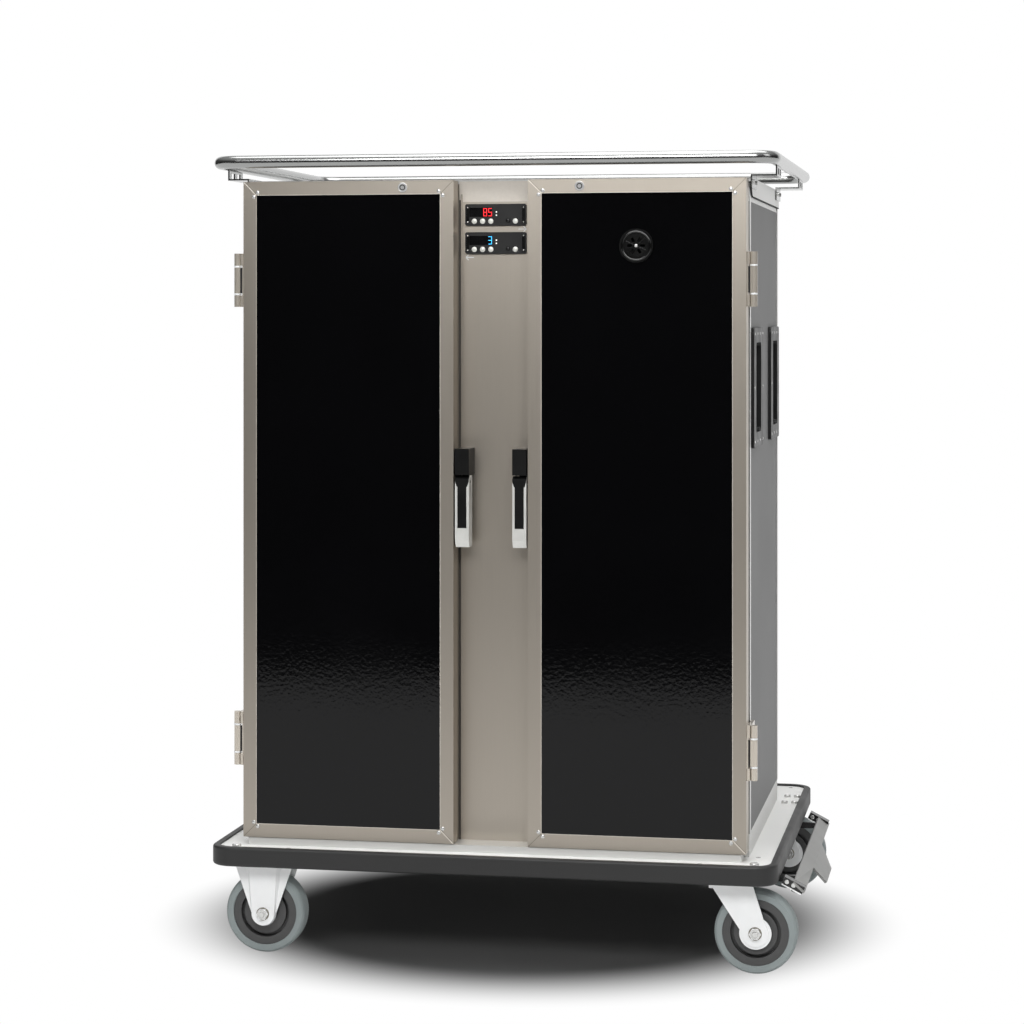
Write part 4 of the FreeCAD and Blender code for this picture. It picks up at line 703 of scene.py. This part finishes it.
# black pads on the latch levers
leverPad = {"stripHalf": 9.0 * mm, "neckHalf": 10.4 * mm, "topHalf": 13.8 * mm, "foot": 38 * mm,
            "neck": 119 * mm, "shoulderRise": 3.0 * mm, "top": 134.2 * mm, "slopeRise": 5.4 * mm,
            "slopeBack": 7.8 * mm, "coat": 0.12 * mm, "lap": 0.6 * mm, "proud": 0.9 * mm, "edge": 0.35 * mm}
for side in ("left", "right"):
    low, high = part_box(side + "_latch_lever")
    x = (low.x + high.x) / 2
    top, neck = low.z + leverPad["top"], low.z + leverPad["neck"]
    shoulder = (neck + top) / 2 + leverPad["shoulderRise"]
    half = [(leverPad["stripHalf"], low.z + leverPad["foot"]), (leverPad["stripHalf"], neck),
            (leverPad["neckHalf"], neck), (leverPad["topHalf"], shoulder), (leverPad["topHalf"], top)]
    outline = [(x + width, z) for width, z in half] + [(x - width, z) for width, z in reversed(half)]
    pad = bmesh.new()
    addOutline(pad, outline, low.y, low.y - leverPad["proud"])
    finishPiece(side + "LeverPad", pad, "latch_black", side + "_latch", leverPad["edge"])
    coat = bmesh.new()  # the lever's slope under the housing is only coated
    start = Vector((low.y, top - leverPad["lap"]))
    foot = Vector((low.y, high.z - leverPad["slopeRise"]))
    head = Vector((low.y + leverPad["slopeBack"], high.z))
    lift = Vector((-leverPad["slopeRise"], leverPad["slopeBack"])).normalized() * leverPad["coat"]
    out = Vector((-leverPad["coat"], 0))
    addSide(coat, [start, foot, head, head + lift, foot + (out + lift) / 2, start + out],
            x - leverPad["topHalf"], x + leverPad["topHalf"])
    finishPiece(side + "LeverCoat", coat, "latch_black", side + "_latch")
print("lever pads made")


# vent: a round bead on the ring, raised blades on the dial and its middle screw
ventBead = {"radius": 27.5 * mm, "half": 2.4 * mm, "riseShare": 0.8, "arcSteps": 8, "steps": 96}
low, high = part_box("vent_ring")
bead = bmesh.new()
turns = [math.pi * k / ventBead["arcSteps"] for k in range(ventBead["arcSteps"] + 1)]
arc = [(ventBead["radius"] - ventBead["half"] * math.cos(t),
        ventBead["half"] * ventBead["riseShare"] * math.sin(t)) for t in turns]
addTurned(bead, arc + [(ventBead["radius"] - ventBead["half"], 0)],
          ((low.x + high.x) / 2, low.y, (low.z + high.z) / 2), forward, ventBead["steps"])
finishPiece("ventBead", bead, "vent_gloss", bodyOf("vent_ring"))
ventDial = {"bladeAngles": (40, 60, 155, 240, 285, 335), "inner": 3.5 * mm, "outer": 21.0 * mm,
            "width": 1.2 * mm, "proud": 1.4 * mm, "edge": 0.4 * mm, "screw": 3.4 * mm, "screwRise": 1.8 * mm,
            "screwSteps": 28}
low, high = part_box("vent_dial")
hub = Vector(((low.x + high.x) / 2, (low.z + high.z) / 2))
blades = bmesh.new()
for angle in ventDial["bladeAngles"]:
    heading = Vector((math.cos(math.radians(angle)), math.sin(math.radians(angle))))
    addStroke(blades, hub + heading * ventDial["inner"], hub + heading * ventDial["outer"],
              ventDial["width"], low.y, low.y - ventDial["proud"])
finishPiece("ventBlades", blades, "vent_gloss", "vent_dial", ventDial["edge"])
screw = bmesh.new()
addTurned(screw, scaled(domeShares, ventDial["screw"], ventDial["screwRise"]), (hub.x, low.y, hub.y), forward,
          ventDial["screwSteps"])
finishPiece("ventScrew", screw, "bright_fixings", "vent_dial")
print("vent made")


# tyres with a stepped side and fine cross ribs on the shoulders stand for the plain rings
tyreForm = {"inner": 64.05 * mm, "chamfer": (1.2 * mm, 0.8 * mm), "step": 75.2 * mm, "stepSlope": 0.4 * mm,
            "stepDepth": 0.7 * mm, "rib": 0.5 * mm, "ribs": 144, "ribbedFrom": 2.5 * mm,
            # how far a shoulder's points are under the tread and in from the side
            "shoulder": ((2.2 * mm, 2.4 * mm), (0.7 * mm, 4.6 * mm), (0.0, 7.5 * mm))}
wheelNames = ("front_left", "rear_left", "front_right", "rear_right")
for wheel in wheelNames:
    low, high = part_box(wheel + "_tyre")
    middle = (low + high) / 2
    radius = (high.z - low.z) / 2
    half = (high.y - low.y) / 2
    inner, step = tyreForm["inner"], tyreForm["step"]
    up, inset = tyreForm["chamfer"]
    side = [(inner, half - inset), (inner + up, half), (step, half),
            (step + tyreForm["stepSlope"], half - tyreForm["stepDepth"])]
    side += [(radius - under, half - inside) for under, inside in tyreForm["shoulder"]]
    profile = side + [(r, -y) for r, y in reversed(side)] + [side[0]]
    ring = bmesh.new()
    addTurned(ring, profile, middle, (0, 1, 0), tyreForm["ribs"] * 2)
    for vert in ring.verts:
        offset = vert.co - middle
        reach = math.hypot(offset.x, offset.z)
        tick = round(math.atan2(offset.z, offset.x) / math.pi * tyreForm["ribs"])
        if reach > radius - tyreForm["ribbedFrom"] and tick % 2:
            vert.co -= Vector((offset.x, 0, offset.z)).normalized() * tyreForm["rib"]
    tyre = finishPiece(wheel + "TyreRing", ring, "grey_tyre", bodyOf(wheel + "_tyre"))
    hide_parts(wheel + "_tyre")
print("tyres made")


# turned faces of the axle nuts, with the bolt ends in them and a dark ring under each nut, painted as the
# shadow line round the nut
axleEnd = {"fixedReach": 45 * mm, "swivelReach": 38 * mm, "nut": 7 * mm, "face": 9.7 * mm,
           "faceRise": 0.5 * mm, "bolt": 5.6 * mm, "boltRise": 3.2 * mm, "boltEdge": 0.8 * mm,
           "boltSteps": 28, "washer": (9.0 * mm, 12.9 * mm), "washerRise": 0.5 * mm, "washerSteps": 40}
face, faceRise = axleEnd["face"], axleEnd["faceRise"]
bolt, boltRise, edge = axleEnd["bolt"], axleEnd["boltRise"], axleEnd["boltEdge"]
boltProfile = [(face, 0), (face - faceRise, faceRise), (bolt, faceRise), (bolt, boltRise - edge),
               (bolt - edge, boltRise), (0, boltRise)]
nutShadowProfile = flatRing(*axleEnd["washer"], axleEnd["washerRise"])
for wheel in wheelNames:
    low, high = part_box(wheel + "_tyre")
    middle = (low + high) / 2
    swivel = "right" in wheel
    body = wheel.split("_")[0] + "_swivel" if swivel else "cart"
    reach = axleEnd["swivelReach"] if swivel else axleEnd["fixedReach"]
    ends = bmesh.new()
    washers = bmesh.new()
    for way in (-1, 1):
        outward = (0, way, 0)
        addTurned(washers, nutShadowProfile, middle + Vector((0, way * (reach - axleEnd["nut"]), 0)), outward,
                  axleEnd["washerSteps"])
        addTurned(ends, boltProfile, middle + Vector((0, way * reach, 0)), outward, axleEnd["boltSteps"])
    finishPiece(wheel + "AxleEnds", ends, "bright_fixings", body)
    # painted shadow: the dark rings outline each nut like a shadow
    finishPiece(wheel + "AxleNutShadows", washers, "element_steel", body)
print("axle ends made")


# brake clamps: bolt heads on both sides, a bright plate and a knob under them
clampFixing = {"aside": 588 * mm, "z": 168 * mm, "tilt": 27, "inset": 12 * mm, "halfWidth": 12 * mm,
               "halfHeight": 7 * mm, "bolts": (-14 * mm, 0.0), "boltRadius": 4.4 * mm, "boltRise": 2.2 * mm,
               "plateHalf": (21 * mm, 13.4 * mm), "plate": 2.6 * mm, "plateEdge": 0.5 * mm,
               "knobAlong": 6 * mm, "knob": 5.6 * mm, "knobDrop": 4 * mm, "steps": 24,
               "boltShares": [(1.0, 0.0), (1.0, 0.6), (0.7, 1.0), (0.0, 1.0)],
               "knobShares": [(0.8, 0.0), (1.0, 0.2), (1.0, 0.7), (0.7, 1.0), (0.0, 1.0)]}
boltHead = scaled(clampFixing["boltShares"], clampFixing["boltRadius"], clampFixing["boltRise"])
knob = scaled(clampFixing["knobShares"], clampFixing["knob"], clampFixing["knobDrop"])
halfX, halfY = clampFixing["plateHalf"]
foot = -clampFixing["halfHeight"] - clampFixing["plate"]
bolts = bmesh.new()
plates = bmesh.new()
barLow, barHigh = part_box("brake_bar")
for way, end in ((-1, barLow.y), (1, barHigh.y)):
    spot = Vector((caseMiddle + clampFixing["aside"], end - way * clampFixing["inset"], clampFixing["z"]))
    turn = Matrix.Translation(spot) @ Matrix.Rotation(math.radians(clampFixing["tilt"]), 4, "Y")
    down = turn.to_3x3() @ Vector((0, 0, -1))
    for along in clampFixing["bolts"]:
        for side in (-1, 1):
            addTurned(bolts, boltHead, turn @ Vector((along, side * clampFixing["halfWidth"], 0)),
                      (0, side, 0), clampFixing["steps"])
    addTurned(bolts, knob, turn @ Vector((clampFixing["knobAlong"], 0, foot)), down, clampFixing["steps"])
    addBlock(plates, (-halfX, -halfY, foot), (halfX, halfY, -clampFixing["halfHeight"]), turn)
finishPiece("clampBolts", bolts, "bright_fixings", "brake")
finishPiece("clampPlates", plates, "zinc", "brake", clampFixing["plateEdge"])
print("clamp fixings made")


# black edging under the cover's side flanges
coverEdging = {"sheet": 2 * mm, "width": 1.9 * mm, "thickness": 2.2 * mm, "slant": 36 * mm, "lip": 7 * mm,
               "flange": 34 * mm, "lipShare": 1.4, "cornerShare": 0.4}
low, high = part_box("top_cover")
front, back = low.y + coverEdging["sheet"], high.y - coverEdging["sheet"]
corner = front + coverEdging["slant"]
roofTop = high.z - coverEdging["sheet"]
lip, bottom = roofTop - coverEdging["lip"], roofTop - coverEdging["flange"]
drop = coverEdging["thickness"]
rim = [(front, lip), (corner, bottom), (back, bottom)]
lower = [(front, lip - drop * coverEdging["lipShare"]),
         (corner - drop * coverEdging["cornerShare"], bottom - drop), (back, bottom - drop)]
edging = bmesh.new()
for outer, inward in ((low.x, 1), (high.x, -1)):
    x0, x1 = sorted((outer, outer + inward * coverEdging["width"]))
    for k in range(len(rim) - 1):
        addSide(edging, [rim[k], rim[k + 1], lower[k + 1], lower[k]], x0, x1)
finishPiece("coverEdging", edging, "gasket_rubber", "cart")
print("cover edging made")


# floor and backdrop: white for the eye, with the cart's shadow near it, and dark grey paper round the cart as
# painted shadow
stageLook = {"floorColour": "#f2f2f2", "paintedShadowColour": "#4a4a4a", "nearFade": 0.88, "farFade": 1.46,
             "footprint": (0.55, 0.52), "footprintX": -0.04,
             "floorFront": -4.3, "floorBack": 9.0, "floorHalf": 9.0, "backdropHeight": 9.0}
paperWhite = (1, 1, 1, 1)


def stagePlane(name, corners, fades):
    mesh = bmesh.new()
    mesh.faces.new([mesh.verts.new(corner) for corner in corners])
    data = bpy.data.meshes.new(name)
    mesh.to_mesh(data)
    mesh.free()
    material = bpy.data.materials.new(name + "Paper")
    material.use_nodes = True
    tree = material.node_tree
    tree.nodes.clear()
    output = addNode(tree, "ShaderNodeOutputMaterial")
    lit = addNode(tree, "ShaderNodeBsdfDiffuse", {"Color": toLinear(stageLook["floorColour"])})
    glow = addNode(tree, "ShaderNodeEmission", {"Color": paperWhite, "Strength": 1.0})
    path = addNode(tree, "ShaderNodeLightPath")
    pair = addNode(tree, "ShaderNodeMath", None, {0: path.outputs["Is Camera Ray"],
                                                  1: path.outputs["Is Glossy Ray"]}, operation="ADD")
    seen = addNode(tree, "ShaderNodeMath", None,  # 1 for rays that the eye, mirrors and glass send out
                   {0: pair.outputs["Value"], 1: path.outputs["Is Transmission Ray"]},
                   operation="ADD", use_clamp=True)
    share = seen.outputs["Value"]
    if fades:  # near the cart the paper is lit, so its shadow shows
        # painted shadow: the eye sees the paper dark grey inside an ellipse round the cart, fading out to
        # white
        tone = addNode(tree, "ShaderNodeValToRGB", None, {"Fac": share},
                       [(0.0, toLinear(stageLook["floorColour"])), (1.0, toLinear(stageLook["paintedShadowColour"]))])
        tree.links.new(tone.outputs["Color"], lit.inputs["Color"])
        place = addNode(tree, "ShaderNodeTexCoord")
        halfX, halfY = stageLook["footprint"]
        shrunk = addNode(tree, "ShaderNodeMapping", {"Location": (-stageLook["footprintX"] / halfX, 0.0, 0.0),
                                                     "Scale": (1 / halfX, 1 / halfY, 0.0)},
                         {"Vector": place.outputs["Object"]})
        away = addNode(tree, "ShaderNodeVectorMath", None, {0: shrunk.outputs["Vector"]}, operation="LENGTH")
        fade = addNode(tree, "ShaderNodeMapRange",
                       {"From Min": stageLook["nearFade"], "From Max": stageLook["farFade"]},
                       {"Value": away.outputs["Value"]}, interpolation_type="SMOOTHSTEP")
        both = addNode(tree, "ShaderNodeMath", None, {0: fade.outputs["Result"], 1: share},
                       operation="MULTIPLY")
        share = both.outputs["Value"]
    mixed = addNode(tree, "ShaderNodeMixShader", None,
                    {0: share, 1: lit.outputs["BSDF"], 2: glow.outputs["Emission"]})
    tree.links.new(mixed.outputs["Shader"], output.inputs["Surface"])
    data.materials.append(material)
    plane = bpy.data.objects.new(name, data)
    bpy.context.scene.collection.objects.link(plane)


half, front, back = stageLook["floorHalf"], stageLook["floorFront"], stageLook["floorBack"]
top = stageLook["backdropHeight"]
stagePlane("studioFloor", [(-half, front, 0), (half, front, 0), (half, back, 0), (-half, back, 0)], True)
stagePlane("studioBackdrop", [(-half, back, 0), (half, back, 0), (half, back, top), (-half, back, top)],
           False)
print("stage made")


# soft studio light: a wide box above, a high one in front and a fill at the push end
studioLamps = {
    "boxAbove": {"place": (0.1, -0.1, 4.2), "aim": (0.0, 0.0, 0.6), "size": (3.4, 2.8), "watt": 88},
    "boxFrontHigh": {"place": (0.4, -3.6, 2.9), "aim": (0.1, -0.3, 1.1), "size": (3.2, 1.3), "watt": 106},
    "boxPushEnd": {"place": (4.6, -1.6, 3.4), "aim": (0.3, 0.0, 0.8), "size": (1.8, 2.4), "watt": 20},
}
for name, look in studioLamps.items():
    data = bpy.data.lights.new(name, "AREA")
    data.shape = "RECTANGLE"
    data.size, data.size_y = look["size"]
    data.energy = look["watt"]
    lamp = bpy.data.objects.new(name, data)
    lamp.location = look["place"]
    beam = Vector(look["aim"]) - Vector(look["place"])
    lamp.rotation_euler = beam.to_track_quat("-Z", "Y").to_euler()
    bpy.context.scene.collection.objects.link(lamp)

# the room is dim at eye level and below, and paler overhead
studioRoom = {"riseFrom": -0.1, "riseTo": 0.9, "greys": ((0.0, 0.03), (0.35, 0.1), (1.0, 0.55))}
world = bpy.data.worlds.new("studioRoom")
bpy.context.scene.world = world
world.use_nodes = True
sky = world.node_tree
sky.nodes.clear()
place = addNode(sky, "ShaderNodeTexCoord")
parts = addNode(sky, "ShaderNodeSeparateXYZ", None, {"Vector": place.outputs["Generated"]})
rise = addNode(sky, "ShaderNodeMapRange",
               {"From Min": studioRoom["riseFrom"], "From Max": studioRoom["riseTo"]},
               {"Value": parts.outputs["Z"]}, interpolation_type="SMOOTHSTEP")
tone = addNode(sky, "ShaderNodeValToRGB", None, {"Fac": rise.outputs["Result"]},
               [(height, (grey, grey, grey, 1)) for height, grey in studioRoom["greys"]])
air = addNode(sky, "ShaderNodeBackground", {"Strength": 1.0}, {"Color": tone.outputs["Color"]})
paper = addNode(sky, "ShaderNodeBackground", {"Color": paperWhite, "Strength": 1.0})
path = addNode(sky, "ShaderNodeLightPath")  # past the paper's edge the eye sees white too
seen = addNode(sky, "ShaderNodeMixShader", None,
               {0: path.outputs["Is Camera Ray"], 1: air.outputs["Background"],
                2: paper.outputs["Background"]})
addNode(sky, "ShaderNodeOutputWorld", None, {"Surface": seen.outputs["Shader"]})
print("light made")


# camera at the photograph's place
view = {"aside": 1.0004, "before": 5.137, "height": 1.266, "turn": 10.56, "lens": 94.22, "sensor": 36,
        "shiftY": -0.1934, "clipEnd": 60}
data = bpy.data.cameras.new("studioCamera")
data.sensor_width = view["sensor"]
data.lens = view["lens"]
data.shift_y = view["shiftY"]
data.clip_end = view["clipEnd"]
camera = bpy.data.objects.new("studioCamera", data)
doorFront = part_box("left_door_frame")[0].y
camera.location = (caseMiddle + view["aside"], doorFront - view["before"], view["height"])
camera.rotation_euler = (math.radians(90), 0, math.radians(view["turn"]))
bpy.context.scene.collection.objects.link(camera)
bpy.context.scene.camera = camera
bpy.context.scene.view_settings.view_transform = "Standard"
print("camera set")
